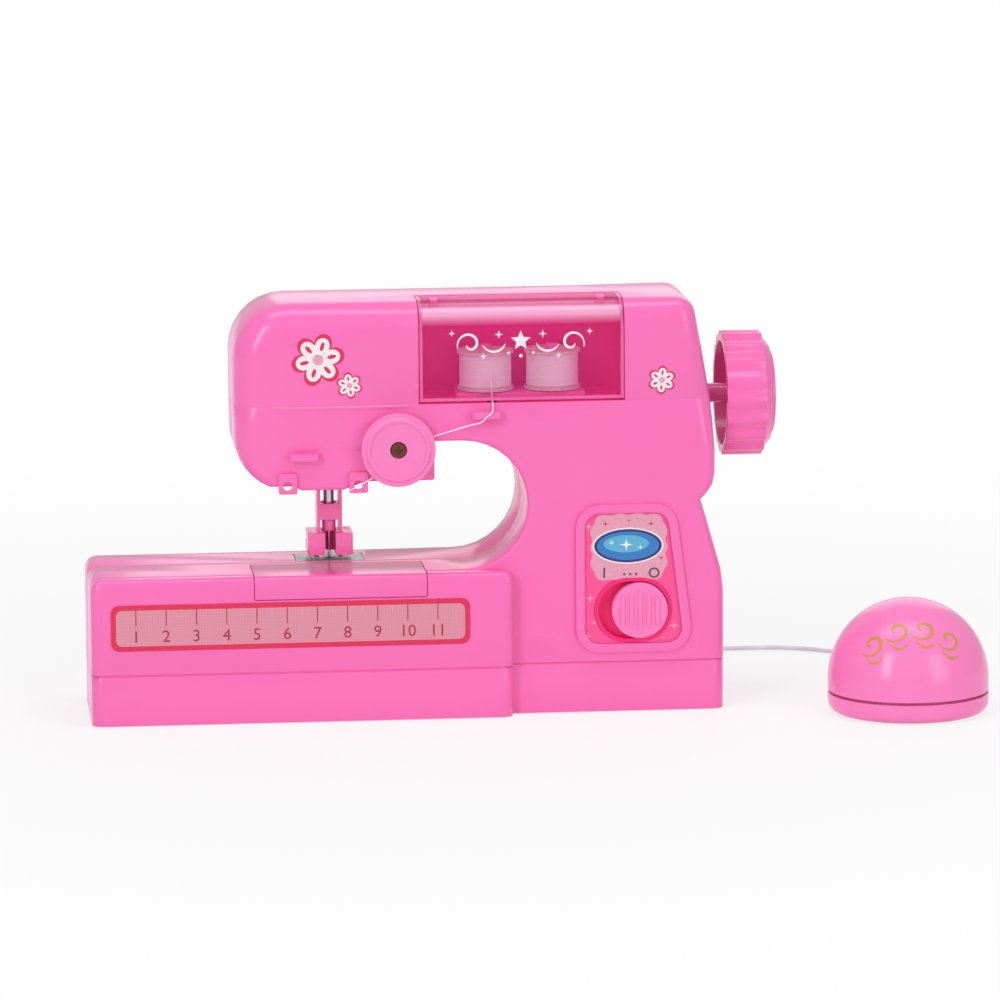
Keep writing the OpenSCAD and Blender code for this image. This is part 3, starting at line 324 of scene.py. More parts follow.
def finish_of(key):
    """Makes a finish when it is first asked for."""
    if key in FINISHES:
        return FINISHES[key]
    c = colours()
    makers = {
        "casing": lambda: moulded("casing_plastic", c.casing),
        "fittings": lambda: moulded("pale_and_lit_plastic", c.fittings),
        "inside": lambda: moulded("inner_plastic", c.inside, 0.34),
        "door": lambda: clear_plastic("door_plastic", c.door, c.band, c.casing),
        "spool": lambda: milky("spool_plastic", c.spool),
        "thread": lambda: spun("spun_thread", c.thread),
        "label": lambda: printed("label_ground", c.label),
        "crimson": lambda: printed("crimson_ink", c.crimson),
        "ruler_ink": lambda: printed("ruler_ink", c.ruler_ink),
        "field": lambda: printed("label_field", c.field),
        "ruler": lambda: woven_print("ruler_ground", c.ruler),
        "ink": lambda: printed("switch_ink", c.ink),
        "white": lambda: printed("white_ink", c.white),
        "badge_rim": lambda: printed("badge_rim_ink", c.badge_rim, 0.22),
        "badge": lambda: printed("badge_ink", c.badge, 0.22),
        "badge_light": lambda: printed("badge_light_ink", c.badge_light, 0.22),
        "gold": lambda: printed("gold_ink", c.gold, 0.3),
        "lead": lambda: rubber("lead_jacket", c.lead, 0.42),
        "steel": lambda: metal("drawn_steel", c.steel, 0.26, (1.0, 1.0, 0.06)),
        "plate": lambda: metal("plate_steel", [0.62 * v for v in c.steel], 0.42, (1.0, 0.08, 1.0)),
        "brass": lambda: metal("turned_brass", c.brass, 0.3, (1.0, 0.1, 1.0)),
        "bronze": lambda: metal("screw_bronze", c.bronze, 0.38, (1.0, 0.1, 1.0)),
        "grey": lambda: moulded("grey_plastic", (0.36, 0.37, 0.39), 0.4),
        "gear": lambda: moulded("gear_plastic", (0.78, 0.76, 0.70), 0.42),
        "belt": lambda: rubber("belt_rubber", (0.02, 0.02, 0.022), 0.6),
        "cell": lambda: moulded("cell_jacket", (0.06, 0.16, 0.09), 0.3),
    }
    FINISHES[key] = makers[key]()
    return FINISHES[key]


# Making pieces


def smooth_by_angle():
    """A node group that clears the solid's custom normals and shades it smooth across shallow edges."""
    name = "soft_shading"
    if name in bpy.data.node_groups:
        return bpy.data.node_groups[name]
    tree = bpy.data.node_groups.new(name, "GeometryNodeTree")
    tree.interface.new_socket("Geometry", in_out="INPUT", socket_type="NodeSocketGeometry")
    tree.interface.new_socket("Geometry", in_out="OUTPUT", socket_type="NodeSocketGeometry")
    start = tree.nodes.new("NodeGroupInput")
    end = tree.nodes.new("NodeGroupOutput")
    bare = tree.nodes.new("GeometryNodeRemoveAttribute")
    bare.inputs["Name"].default_value = "custom_normal"
    faces = tree.nodes.new("GeometryNodeSetShadeSmooth")
    edges = tree.nodes.new("GeometryNodeSetShadeSmooth")
    edges.domain = "EDGE"
    angle = tree.nodes.new("GeometryNodeInputMeshEdgeAngle")
    shallow = tree.nodes.new("FunctionNodeCompare")
    shallow.operation = "LESS_EQUAL"
    shallow.inputs[1].default_value = math.radians(32)
    tree.links.new(start.outputs[0], bare.inputs["Geometry"])
    tree.links.new(bare.outputs["Geometry"], faces.inputs["Geometry"])
    tree.links.new(faces.outputs["Geometry"], edges.inputs["Geometry"])
    tree.links.new(angle.outputs["Unsigned Angle"], shallow.inputs[0])
    tree.links.new(shallow.outputs[0], edges.inputs["Shade Smooth"])
    tree.links.new(edges.outputs["Geometry"], end.inputs[0])
    return tree


def soften(obj, width=0.0):
    """Welds a solid, rounds its sharp edges by the width and shades it."""
    weld = obj.modifiers.new("weld", "WELD")
    weld.merge_threshold = 0.000002
    if width:
        flat = obj.modifiers.new("flat", "DECIMATE")
        flat.decimate_type = "DISSOLVE"
        flat.angle_limit = math.radians(0.4)
        bevel = obj.modifiers.new("edges", "BEVEL")
        bevel.width = width
        bevel.segments = 2
        bevel.limit_method = "ANGLE"
        bevel.angle_limit = math.radians(38)
        bevel.harden_normals = False
    shade = obj.modifiers.new("shade", "NODES")
    shade.node_group = smooth_by_angle()


def dress(names, finish, width=0.0):
    """Gives solids their finish."""
    for name in names:
        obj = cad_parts[name]
        obj.data.materials.clear()
        obj.data.materials.append(finish_of(finish))
        soften(obj, width)


def piece(name, mesh, finish, body):
    """A new piece that rides on a body."""
    obj = bpy.data.objects.new(name, mesh)
    bpy.context.scene.collection.objects.link(obj)
    obj.data.materials.append(finish_of(finish))
    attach(obj, body)
    return obj


def bridge(made, rings, around=False):
    """Joins each ring of points to the next; the last meets the first, or else both ends are closed."""
    count = len(rings[0])
    following = rings[1:] + rings[:1] if around else rings[1:]
    for a, b in zip(rings, following):
        for i in range(count):
            j = (i + 1) % count
            made.faces.new((a[i], a[j], b[j], b[i]))
    if not around:
        made.faces.new(rings[0])
        made.faces.new(rings[-1][::-1])


def finished(made, name, smooth=False):
    """A mesh of the faces made so far, turned outward."""
    bmesh.ops.recalc_face_normals(made, faces=made.faces)
    for face in made.faces:
        face.smooth = smooth
    mesh = bpy.data.meshes.new(name)
    made.to_mesh(mesh)
    made.free()
    return mesh


def plates(name, outlines, y, rise, finish, body):
    """Thin printed plates on an upright face at y; each outline is a list of (x, z) in millimetres."""
    made = bmesh.new()
    for outline in outlines:
        area = sum(a[0] * b[1] - b[0] * a[1] for a, b in zip(outline, outline[1:] + outline[:1]))
        ring = outline if area > 0 else outline[::-1]
        front = [made.verts.new((x * MM, y * MM - rise, z * MM)) for x, z in ring]
        back = [made.verts.new((x * MM, y * MM, z * MM)) for x, z in ring]
        made.faces.new(front)
        made.faces.new(back[::-1])
        for i in range(len(ring)):
            j = (i + 1) % len(ring)
            made.faces.new((front[i], back[i], back[j], front[j]))
    made.normal_update()
    bmesh.ops.triangulate(made, faces=[f for f in made.faces if len(f.verts) > 4])
    return piece(name, finished(made, name), finish, body)


def ellipse(cx, cz, rx, rz, count=48):
    """An oval outline."""
    return [
        (cx + rx * math.cos(2 * math.pi * k / count), cz + rz * math.sin(2 * math.pi * k / count))
        for k in range(count)
    ]


def rounded(x0, z0, x1, z1, r, count=6):
    """A rectangle with round corners."""
    corners = [(x1 - r, z1 - r, 0), (x0 + r, z1 - r, 90), (x0 + r, z0 + r, 180), (x1 - r, z0 + r, 270)]
    points = []
    for cx, cz, start in corners:
        for k in range(count + 1):
            a = math.radians(start + 90 * k / count)
            points.append((cx + r * math.cos(a), cz + r * math.sin(a)))
    return points


def flower(cx, cz, r, petals, turn, waist=0.62, count=96):
    """A flower's outline, drawn in to the waist between its petals."""
    points = []
    for k in range(count):
        a = 2 * math.pi * k / count
        swell = abs(math.cos(petals * (a - math.radians(turn)) / 2)) ** 0.7
        d = r * (waist + (1 - waist) * swell)
        points.append((cx + d * math.cos(a), cz + d * math.sin(a)))
    return points


def sparkle(cx, cz, r, arms=4, waist=0.26, turn=90):
    """A star with pointed arms."""
    points = []
    for k in range(2 * arms):
        d = r if k % 2 == 0 else r * waist
        a = math.radians(turn + 180 * k / arms)
        points.append((cx + d * math.cos(a), cz + d * math.sin(a)))
    return points


def mirrored(points, middle):
    """The same outline on the other side of an upright line."""
    return [(2 * middle - x, z) for x, z in points]


def letters(name, words, height, finish, y, rise, body, weight=0.0):
    """Lettering on an upright face; words is a list of (text, x, z) in millimetres."""
    size_to_height = 1.37
    parts = []
    for text, x, z in words:
        data = bpy.data.curves.new(name, "FONT")
        data.body = text
        data.size = height * size_to_height
        data.align_x = "CENTER"
        data.align_y = "CENTER"
        data.extrude = rise / 2
        data.offset = weight
        data.resolution_u = 3
        drawn = bpy.data.objects.new(name, data)
        bpy.context.scene.collection.objects.link(drawn)
        bpy.context.view_layer.update()
        graph = bpy.context.evaluated_depsgraph_get()
        mesh = bpy.data.meshes.new_from_object(drawn.evaluated_get(graph))
        spot = Matrix.Translation((x * MM, y * MM - rise / 2, z * MM))
        mesh.transform(spot @ Matrix.Rotation(math.pi / 2, 4, "X"))
        parts.append(mesh)
        bpy.data.objects.remove(drawn)
    made = bmesh.new()
    for mesh in parts:
        made.from_mesh(mesh)
        bpy.data.meshes.remove(mesh)
    bmesh.ops.remove_doubles(made, verts=made.verts, dist=0.0000005)
    whole = bpy.data.meshes.new(name)
    made.to_mesh(whole)
    made.free()
    whole.materials.clear()
    return piece(name, whole, finish, body)


def ribbons(name, strokes, rise, finish, body):
    """Raised strokes; each is a list of (point, normal, width) in metres."""
    sunk, narrowing = 0.02 * MM, 0.9
    made = bmesh.new()
    for stroke in strokes:
        rings = []
        for k, (point, normal, width) in enumerate(stroke):
            ahead = stroke[min(k + 1, len(stroke) - 1)][0] - stroke[max(k - 1, 0)][0]
            side = ahead.cross(normal).normalized() * width / 2
            low = point - normal * sunk
            high = point + normal * rise
            corners = (low - side, low + side, high + side * narrowing, high - side * narrowing)
            rings.append([made.verts.new(corner) for corner in corners])
        bridge(made, rings)
    return piece(name, finished(made, name), finish, body)


def curl(cx, cz, r0, r1, a0, a1, count=36):
    """A spiral stroke as (x, z) points in millimetres."""
    points = []
    for k in range(count + 1):
        t = k / count
        a = math.radians(a0 + (a1 - a0) * t)
        r = r0 + (r1 - r0) * t
        points.append((cx + r * math.cos(a), cz + r * math.sin(a)))
    return points


def tapered(points, place, width):
    """A stroke from flat points: thick in the middle and thin at its ends."""
    last, thin = len(points) - 1, 0.35
    stroke = []
    for k, p in enumerate(points):
        point, normal = place(p)
        share = thin + (1 - thin) * math.sin(math.pi * k / last)
        stroke.append((point, normal, width * share))
    return stroke


def on_upright(y):
    """Lays flat points on an upright face that looks forward."""
    return lambda p: (Vector((p[0] * MM, y * MM, p[1] * MM)), Vector((0, -1, 0)))


def strand(name, points, radius, finish, body, steps=6):
    """A round strand through the points, in metres."""
    data = bpy.data.curves.new(name, "CURVE")
    data.dimensions = "3D"
    data.bevel_depth = radius
    data.bevel_resolution = 3
    data.resolution_u = steps
    data.use_fill_caps = True
    spline = data.splines.new("BEZIER")
    spline.bezier_points.add(len(points) - 1)
    for made, point in zip(spline.bezier_points, points):
        made.co = point
        made.handle_left_type = "AUTO"
        made.handle_right_type = "AUTO"
    return piece(name, data, finish, body)


def millimetres(points):
    return [Vector(p) * MM for p in points]


def front_of(node):
    """The front face of a solid, in millimetres."""
    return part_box(node)[0].y / MM


def coil(made, middle, radius, bottom, pitch, turns, wire, per_turn, sides, wander=0.0):
    """Adds a wound strand to the mesh, as a tube with closed ends."""
    rings = []
    for k in range(int(turns * per_turn) + 1):
        a = 2 * math.pi * k / per_turn
        out = Vector((math.cos(a), math.sin(a), 0))
        centre = Vector((middle.x, middle.y, bottom + pitch * k / per_turn))
        centre += out * (radius + random.uniform(-wander, wander))
        ring = []
        for s in range(sides):
            b = 2 * math.pi * s / sides
            side = out * math.cos(b) + Vector((0, 0, math.sin(b)))
            ring.append(made.verts.new(centre + side * wire))
        rings.append(ring)
    bridge(made, rings)


# Operators


class TOY_OT_stage(bpy.types.Operator):
    """Sets up the camera, the floor and the light"""

    bl_idname = "toy.stage"
    bl_label = "Stage"

    def execute(self, context):
        scene = context.scene
        scene.view_settings.view_transform = "Standard"
        self.camera(scene)
        self.floor(scene)
        self.world(scene)
        middle = Vector((0.03, 0.0, 0.06))
        self.lamp("lamp_top", (0.0, -0.15, 1.15), middle, 1.1, 0.4, 4.2)
        self.lamp("lamp_front_left", (-0.75, -1.05, 0.65), middle, 0.3, 0.9, 5.6)
        self.lamp("lamp_front_right", (0.85, -0.95, 0.45), middle, 0.5, 0.8, 3.0)
        self.lamp("lamp_back", (0.3, 1.1, 0.6), middle, 0.8, 0.8, 1.7)
        return {"FINISHED"}

    def camera(self, scene):
        """A long lens, a little left of the front and above it."""
        data = bpy.data.cameras.new("camera")
        data.lens = 252.0
        data.sensor_width = 36.0
        data.clip_end = 50.0
        obj = bpy.data.objects.new("camera", data)
        scene.collection.objects.link(obj)
        azimuth, elevation, roll = (math.radians(a) for a in (5.5, 9.5, 0.35))
        target, distance = Vector((29.7, -29.0, 73.2)) * MM, 2.3142
        level = Vector((math.sin(azimuth), math.cos(azimuth), 0))
        ahead = level * math.cos(elevation) - Vector((0, 0, math.sin(elevation)))
        right = Vector((math.cos(azimuth), -math.sin(azimuth), 0))
        up = right.cross(ahead)
        across = right * math.cos(roll) - up * math.sin(roll)
        upward = right * math.sin(roll) + up * math.cos(roll)
        spot = target - ahead * distance
        turned = Matrix((across, upward, -ahead)).transposed().to_4x4()
        obj.matrix_world = Matrix.Translation(spot) @ turned
        scene.camera = obj

    def floor(self, scene):
        half_width, drop = 7.0, 0.3 * MM
        made = bmesh.new()
        bmesh.ops.create_grid(made, x_segments=8, y_segments=8, size=half_width)
        mesh = bpy.data.meshes.new("floor")
        made.to_mesh(mesh)
        made.free()
        obj = bpy.data.objects.new("floor", mesh)
        obj.location = (0, 0, -drop)
        scene.collection.objects.link(obj)
        mesh.materials.append(self.floor_white())

    def floor_white(self):
        """A white floor that keeps the shadow near the toy."""
        near, far, near_share = 0.12, 0.55, 0.72
        mat = bpy.data.materials.new("floor_white")
        mat.use_nodes = True
        tree = mat.node_tree
        out = tree.nodes["Material Output"]
        shader = tree.nodes["Principled BSDF"]
        shader.inputs["Base Color"].default_value = (0.9, 0.9, 0.9, 1)
        shader.inputs["Roughness"].default_value = 0.9
        glow = tree.nodes.new("ShaderNodeEmission")
        mix = tree.nodes.new("ShaderNodeMixShader")
        place = tree.nodes.new("ShaderNodeTexCoord")
        reach = tree.nodes.new("ShaderNodeVectorMath")
        reach.operation = "LENGTH"
        fade = tree.nodes.new("ShaderNodeMapRange")
        fade.inputs["From Min"].default_value = near
        fade.inputs["From Max"].default_value = far
        fade.inputs["To Min"].default_value = near_share
        fade.inputs["To Max"].default_value = 1.0
        tree.links.new(place.outputs["Object"], reach.inputs[0])
        tree.links.new(reach.outputs["Value"], fade.inputs["Value"])
        share = maths(tree, "MULTIPLY", seen_directly(tree), fade.outputs["Result"])
        tree.links.new(share, mix.inputs[0])
        tree.links.new(shader.outputs[0], mix.inputs[1])
        tree.links.new(glow.outputs[0], mix.inputs[2])
        tree.links.new(mix.outputs[0], out.inputs["Surface"])
        return mat

    def world(self, scene):
        """An even white light that is shown as plain white."""
        strength, mirror_share = 0.45, 0.25
        world = bpy.data.worlds.new("studio")
        world.use_nodes = True
        tree = world.node_tree
        out = tree.nodes["World Output"]
        light = tree.nodes["Background"]
        light.inputs["Color"].default_value = (1, 1, 1, 1)
        light.inputs["Strength"].default_value = strength
        shown = tree.nodes.new("ShaderNodeBackground")
        shown.inputs["Color"].default_value = (1, 1, 1, 1)
        mix = tree.nodes.new("ShaderNodeMixShader")
        tree.links.new(seen_directly(tree, mirror_share), mix.inputs[0])
        tree.links.new(light.outputs[0], mix.inputs[1])
        tree.links.new(shown.outputs[0], mix.inputs[2])
        tree.links.new(mix.outputs[0], out.inputs["Surface"])
        scene.world = world

    def lamp(self, name, spot, target, width, height, power):
        """A soft box turned to the target."""
        data = bpy.data.lights.new(name, "AREA")
        data.shape = "RECTANGLE"
        data.size = width
        data.size_y = height
        data.energy = power
        obj = bpy.data.objects.new(name, data)
        obj.location = spot
        obj.rotation_euler = (target - Vector(spot)).to_track_quat("-Z", "Y").to_euler()
        bpy.context.scene.collection.objects.link(obj)


def seen_directly(tree, mirror_share=1.0):
    """1 for camera and see-through rays, and the share given for mirror rays."""
    path = tree.nodes.new("ShaderNodeLightPath").outputs
    dimmed = maths(tree, "MULTIPLY", path["Is Glossy Ray"], mirror_share)
    first = maths(tree, "MAXIMUM", path["Is Camera Ray"], dimmed)
    return maths(tree, "MAXIMUM", first, path["Is Transmission Ray"])


class TOY_OT_lead(bpy.types.Operator):
    """Lays the lead from the machine to the foot switch, with its spare length coiled and tied"""

    bl_idname = "toy.lead"
    bl_label = "Lead"

    def execute(self, context):
        radius = sizes().lead_d / 2
        points = millimetres(self.route(radius / MM))
        lead = strand("lead", points, radius, "lead", "casing")
        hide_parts("pedal_cord")
        dress(["cord_tie"], "spool")
        return {"FINISHED"}

    def route(self, radius):
        """The lead's middle line: out of the machine, through its coil and round to the foot switch."""
        low, rise = radius + 0.05, 2 * radius + 0.2
        gland_x, pedal_x, pedal_back, far = 80.2, 165.5, -7.2, 78.8
        coil_x, coil_r, turns, steps = 45.0, 9.0, 5.5, 16
        near_bend, wide_bend = 13, 36
        coil_y = far - coil_r
        top = low + turns * rise
        points = self.leave(gland_x, low)
        points += self.bend(gland_x - near_bend, coil_y - coil_r - near_bend, near_bend, 0, 90, 4, low)
        for k in range(int(steps * turns) + 1):
            a = math.radians(-90 - 360 * k / steps)
            x, y = coil_x + coil_r * math.cos(a), coil_y + coil_r * math.sin(a)
            points.append((x, y, low + rise * k / steps))
        points += [
            (coil_x + 7, far, top - 0.3), (coil_x + 16, far, top - 2.3), (coil_x + 26, far, top - 5.6),
            (coil_x + 36, far, low + 1.4), (coil_x + 44, far, low + 0.2), (coil_x + 54, far, low)]
        points += self.bend(pedal_x - wide_bend, far - wide_bend, wide_bend, 90, 0, 9, low)
        points += self.arrive(pedal_x, pedal_back, low)
        return points

    def leave(self, x, low):
        """Down from the machine's gland to the floor."""
        return [
            (x, 24.3, 8.0), (x, 27.0, 7.9), (x, 30.5, 6.9), (x, 34.0, 4.7), (x, 37.5, 2.4),
            (x, 41.5, low + 0.2)]

    def arrive(self, x, y, low):
        """Up from the floor into the foot switch's gland."""
        return [
            (x, y + 15, low + 0.05), (x, y + 11, low + 0.4), (x, y + 7.5, low + 1.1), (x, y + 4.5, low + 2),
            (x, y + 1.85, 3.35)]

    def bend(self, x, y, r, a0, a1, count, z):
        """An arc that lies flat on the floor."""
        points = []
        for k in range(count + 1):
            a = math.radians(a0 + (a1 - a0) * k / count)
            points.append((x + r * math.cos(a), y + r * math.sin(a), z))
        return points


class TOY_OT_casing(bpy.types.Operator):
    """Finishes the moulded casing, wheel, dial and small mouldings"""

    bl_idname = "toy.casing"
    bl_label = "Casing"

    def execute(self, context):
        edge = sizes().edge
        dress(["front_shell", "rear_shell", "top_cover", "base_tray", "bed_apron"], "casing", 1.6 * edge)
        dress(["bed_cover", "handwheel", "thread_guides", "eyelet_lugs", "battery_door"], "casing", edge)
        dress(["machine_gland", "pedal_gland", "spool_seat"], "casing", edge)
        # On the presser foot and needle clamp the paler fittings pink is painted light, countering the arm's
        # shade on them.
        dress(["tension_dial", "presser_foot", "needle_clamp"], "fittings", edge)
        dress(["spool_tray"], "inside")
        self.lip()
        return {"FINISHED"}

    def lip(self):
        """The front shell's top edge, which stands a little proud left of the door."""
        start, end, proud, fall, sunk, count = -46.0, 3.4, 0.38, 1.6, 0.05, 24
        end_share, ease = 0.1, 6
        face, top = front_of("top_cover"), COVER_SEAM - 0.1
        made = bmesh.new()
        rings = []
        for k in range(count + 1):
            along = k / count
            x = start + (end - start) * along
            out = proud * min(1, end_share + ease * min(along, 1 - along))
            profile = ((face + sunk, top + sunk), (face - out, top - out), (face + sunk, top - fall))
            rings.append([made.verts.new((x * MM, y * MM, z * MM)) for y, z in profile])
        bridge(made, rings)
        piece("seam_lip", finished(made, "seam_lip"), "casing", "casing")


class TOY_OT_door(bpy.types.Operator):
    """Finishes the clear spool door and prints white curls and stars on it"""

    bl_idname = "toy.door"
    bl_label = "Spool door"

    def execute(self, context):
        dress(["spool_door"], "door")
        face, rise = front_of("top_cover"), sizes().print_rise
        place, middle = on_upright(face), 37.5
        left_curls = [
            (curl(20.5, 124.5, 4.2, 1.0, 200, -160), 0.9 * MM),
            (curl(29.0, 126.0, 4.6, 3.6, 205, 335), 0.8 * MM),
        ]
        strokes = []
        for points, width in left_curls:
            strokes.append(tapered(points, place, width))
            strokes.append(tapered(mirrored(points, middle), place, width))
        ribbons("door_curls", strokes, rise, "white", "door")
        left_stars = [
            sparkle(30.2, 127.6, 1.5), sparkle(14.6, 128.2, 1.2), sparkle(25.0, 120.4, 1.3),
            ellipse(33.4, 121.4, 0.45, 0.45, 16),
        ]
        stars = [sparkle(middle, 125.4, 3.4, 5, 0.45), ellipse(middle, 120.4, 0.6, 0.6, 16)]
        stars += left_stars + [mirrored(star, middle) for star in left_stars]
        plates("door_stars", stars, face, rise, "white", "door")
        return {"FINISHED"}


class TOY_OT_spools(bpy.types.Operator):
    """Finishes the spools and winds their thread"""

    bl_idname = "toy.spools"
    bl_label = "Spools"

    def execute(self, context):
        dress(["spool_left", "spool_right"], "spool")
        self.winding("winding_left", "thread_left", "reel_left", 11)
        self.winding("winding_right", "thread_right", "reel_right", 12)
        return {"FINISHED"}

    def winding(self, name, node, body, seed):
        """One wound layer of thread over the layers underneath."""
        low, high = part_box(node)
        r = sizes().winding_d / 2
        pitch = sizes().winding_pitch
        middle = (low + high) / 2
        outer = (high.x - low.x) / 2 - r
        bottom, top = low.z + r, high.z - r
        wander, beyond = 0.05 * MM, 0.8 * r
        random.seed(seed)
        made = bmesh.new()
        coil(made, middle, outer - wander, bottom, pitch, (top - bottom) / pitch, r, 28, 6, wander)
        self.core(made, middle, outer, bottom - beyond, top + beyond)
        obj = piece(name, finished(made, name, True), "thread", body)
        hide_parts(node)

    def core(self, made, middle, radius, bottom, top):
        """The wound layers underneath, as one ring."""
        inner, count = 3.8 * MM, 48
        rings = []
        for r, z in ((inner, bottom), (radius, bottom), (radius, top), (inner, top)):
            ring = []
            for x, y in ellipse(middle.x, middle.y, r, r, count):
                ring.append(made.verts.new((x, y, z)))
            rings.append(ring)
        bridge(made, rings, True)


class TOY_OT_thread(bpy.types.Operator):
    """Runs the thread from the left spool over its guide and the dial to an eyelet"""

    bl_idname = "toy.thread"
    bl_label = "Thread"

    def execute(self, context):
        points = millimetres(self.route())
        thread = strand("running_thread", points, sizes().thread_d / 2, "thread", "casing", 4)
        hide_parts("upper_thread")
        return {"FINISHED"}

    def route(self):
        """The thread's middle line: down the spool, over the ledge, behind the dial and into the eyelet."""
        face, seam, arm, ledge, lug = front_of("top_cover"), COVER_SEAM, 92.2, -27.0, -24.7
        spool_y, spool_z, yarn, spool_r = -10.7, 107.9, 8.43, 9.4
        x, dial_x, dial_z, lug_x = 28.0, -3.6, 90.2, -19.8
        down = [
            (x, spool_y - yarn - 0.8, spool_z + 6), (x, spool_y - yarn - 0.9, spool_z + 4),
            (x, spool_y - spool_r - 0.62, spool_z + 1.4), (x, spool_y - spool_r - 0.64, spool_z - 0.6),
            (x, spool_y - spool_r - 0.7, seam + 1), (x, 1.6 + face, seam + 0.4),
            (x, 0.8 + face, seam + 0.3), (x, face, seam + 0.3),
            (x, face - 0.6, seam + 0.1), (x, face - 1.1, seam - 0.9),
            (x - 0.1, ledge + 1.6, arm + 10.7), (x - 0.4, ledge - 0.2, arm + 10.4),
            (x - 0.8, ledge - 0.5, arm + 9.6), (x - 2.4, ledge - 0.4, arm + 8.6)]
        leave = Vector((x - 3.4, ledge - 0.45, arm + 7.3))
        meet = Vector((dial_x + 13, face - 0.85, arm + 2.2))
        straight = [leave, leave.lerp(meet, 1 / 3), leave.lerp(meet, 2 / 3), meet]
        along = [
            (dial_x + 8.6, face - 0.85, arm + 0.6), (dial_x + 4.7, face - 0.85, dial_z - 2.2),
            (dial_x + 2.7, face - 0.85, dial_z - 4.5),
            (dial_x, face - 0.85, dial_z - 5.4), (dial_x - 5.4, face - 0.85, arm - 9.6),
            (lug_x + 6.6, lug, arm - 12), (lug_x + 3.8, lug, arm - 13.6), (lug_x + 0.2, lug, arm - 15.4)]
        return down + straight + along


class TOY_OT_metalwork(bpy.types.Operator):
    """Finishes the needle, bar, shafts, screws, motor and gears"""

    bl_idname = "toy.metalwork"
    bl_label = "Metalwork and drive"

    def execute(self, context):
        dress(["needle", "needle_bar", "main_shaft", "lower_shaft", "idler_pin", "looper"], "steel")
        dress(["motor", "casing_screws", "door_screw"], "steel")
        dress(["needle_plate"], "plate")
        dress(["battery_contacts"], "brass")
        dress(["dial_screw"], "bronze")
        dress(["crank_disc", "upper_pulley", "lower_pulley"], "gear")
        dress(["main_gear", "idler_gear", "motor_pinion"], "gear")
        dress(["head_frame", "gear_frame", "shaft_posts", "slide_switch", "pedal_switch"], "grey")
        dress(["drive_belt"], "belt")
        dress(["battery_cells"], "cell")
        return {"FINISHED"}


class TOY_OT_stickers(bpy.types.Operator):
    """Prints the flowers on the top cover"""

    bl_idname = "toy.stickers"
    bl_label = "Flowers"

    def execute(self, context):
        rise = sizes().print_rise
        large = sizes().flower / MM / 2
        spots = [
            ("flower_large", -29.7, 120.3, large, 12), ("flower_small", -19.4, 111.6, large * 0.5, 40),
            ("flower_right", 84.4, 111.3, large * 0.54, 25),
        ]
        face, step, petals = front_of("top_cover"), rise / MM, sizes().petals
        for name, x, z, r, turn in spots:
            layers = [
                ("_edge", [flower(x, z, r, petals, turn)], "crimson"),
                ("_petals", [flower(x, z, r * 0.84, petals, turn, 0.6)], "white"),
                ("_drops", [self.drop(x, z, r, turn + 360 * k / petals) for k in range(petals)], "crimson"),
                ("_heart", [ellipse(x, z, r * 0.2, r * 0.2, 24)], "field"),
            ]
            for k, (part, outlines, finish) in enumerate(layers):
                plates(name + part, outlines, face - k * step, rise, finish, "casing")
        return {"FINISHED"}

    def drop(self, x, z, r, turn):
        """A long drop along a petal."""
        a = math.radians(turn)
        right, up = r * math.cos(a), r * math.sin(a)
        points = []
        for s, t in ellipse(0.52, 0.0, 0.17, 0.075, 20):
            points.append((x + s * right - t * up, z + s * up + t * right))
        return points


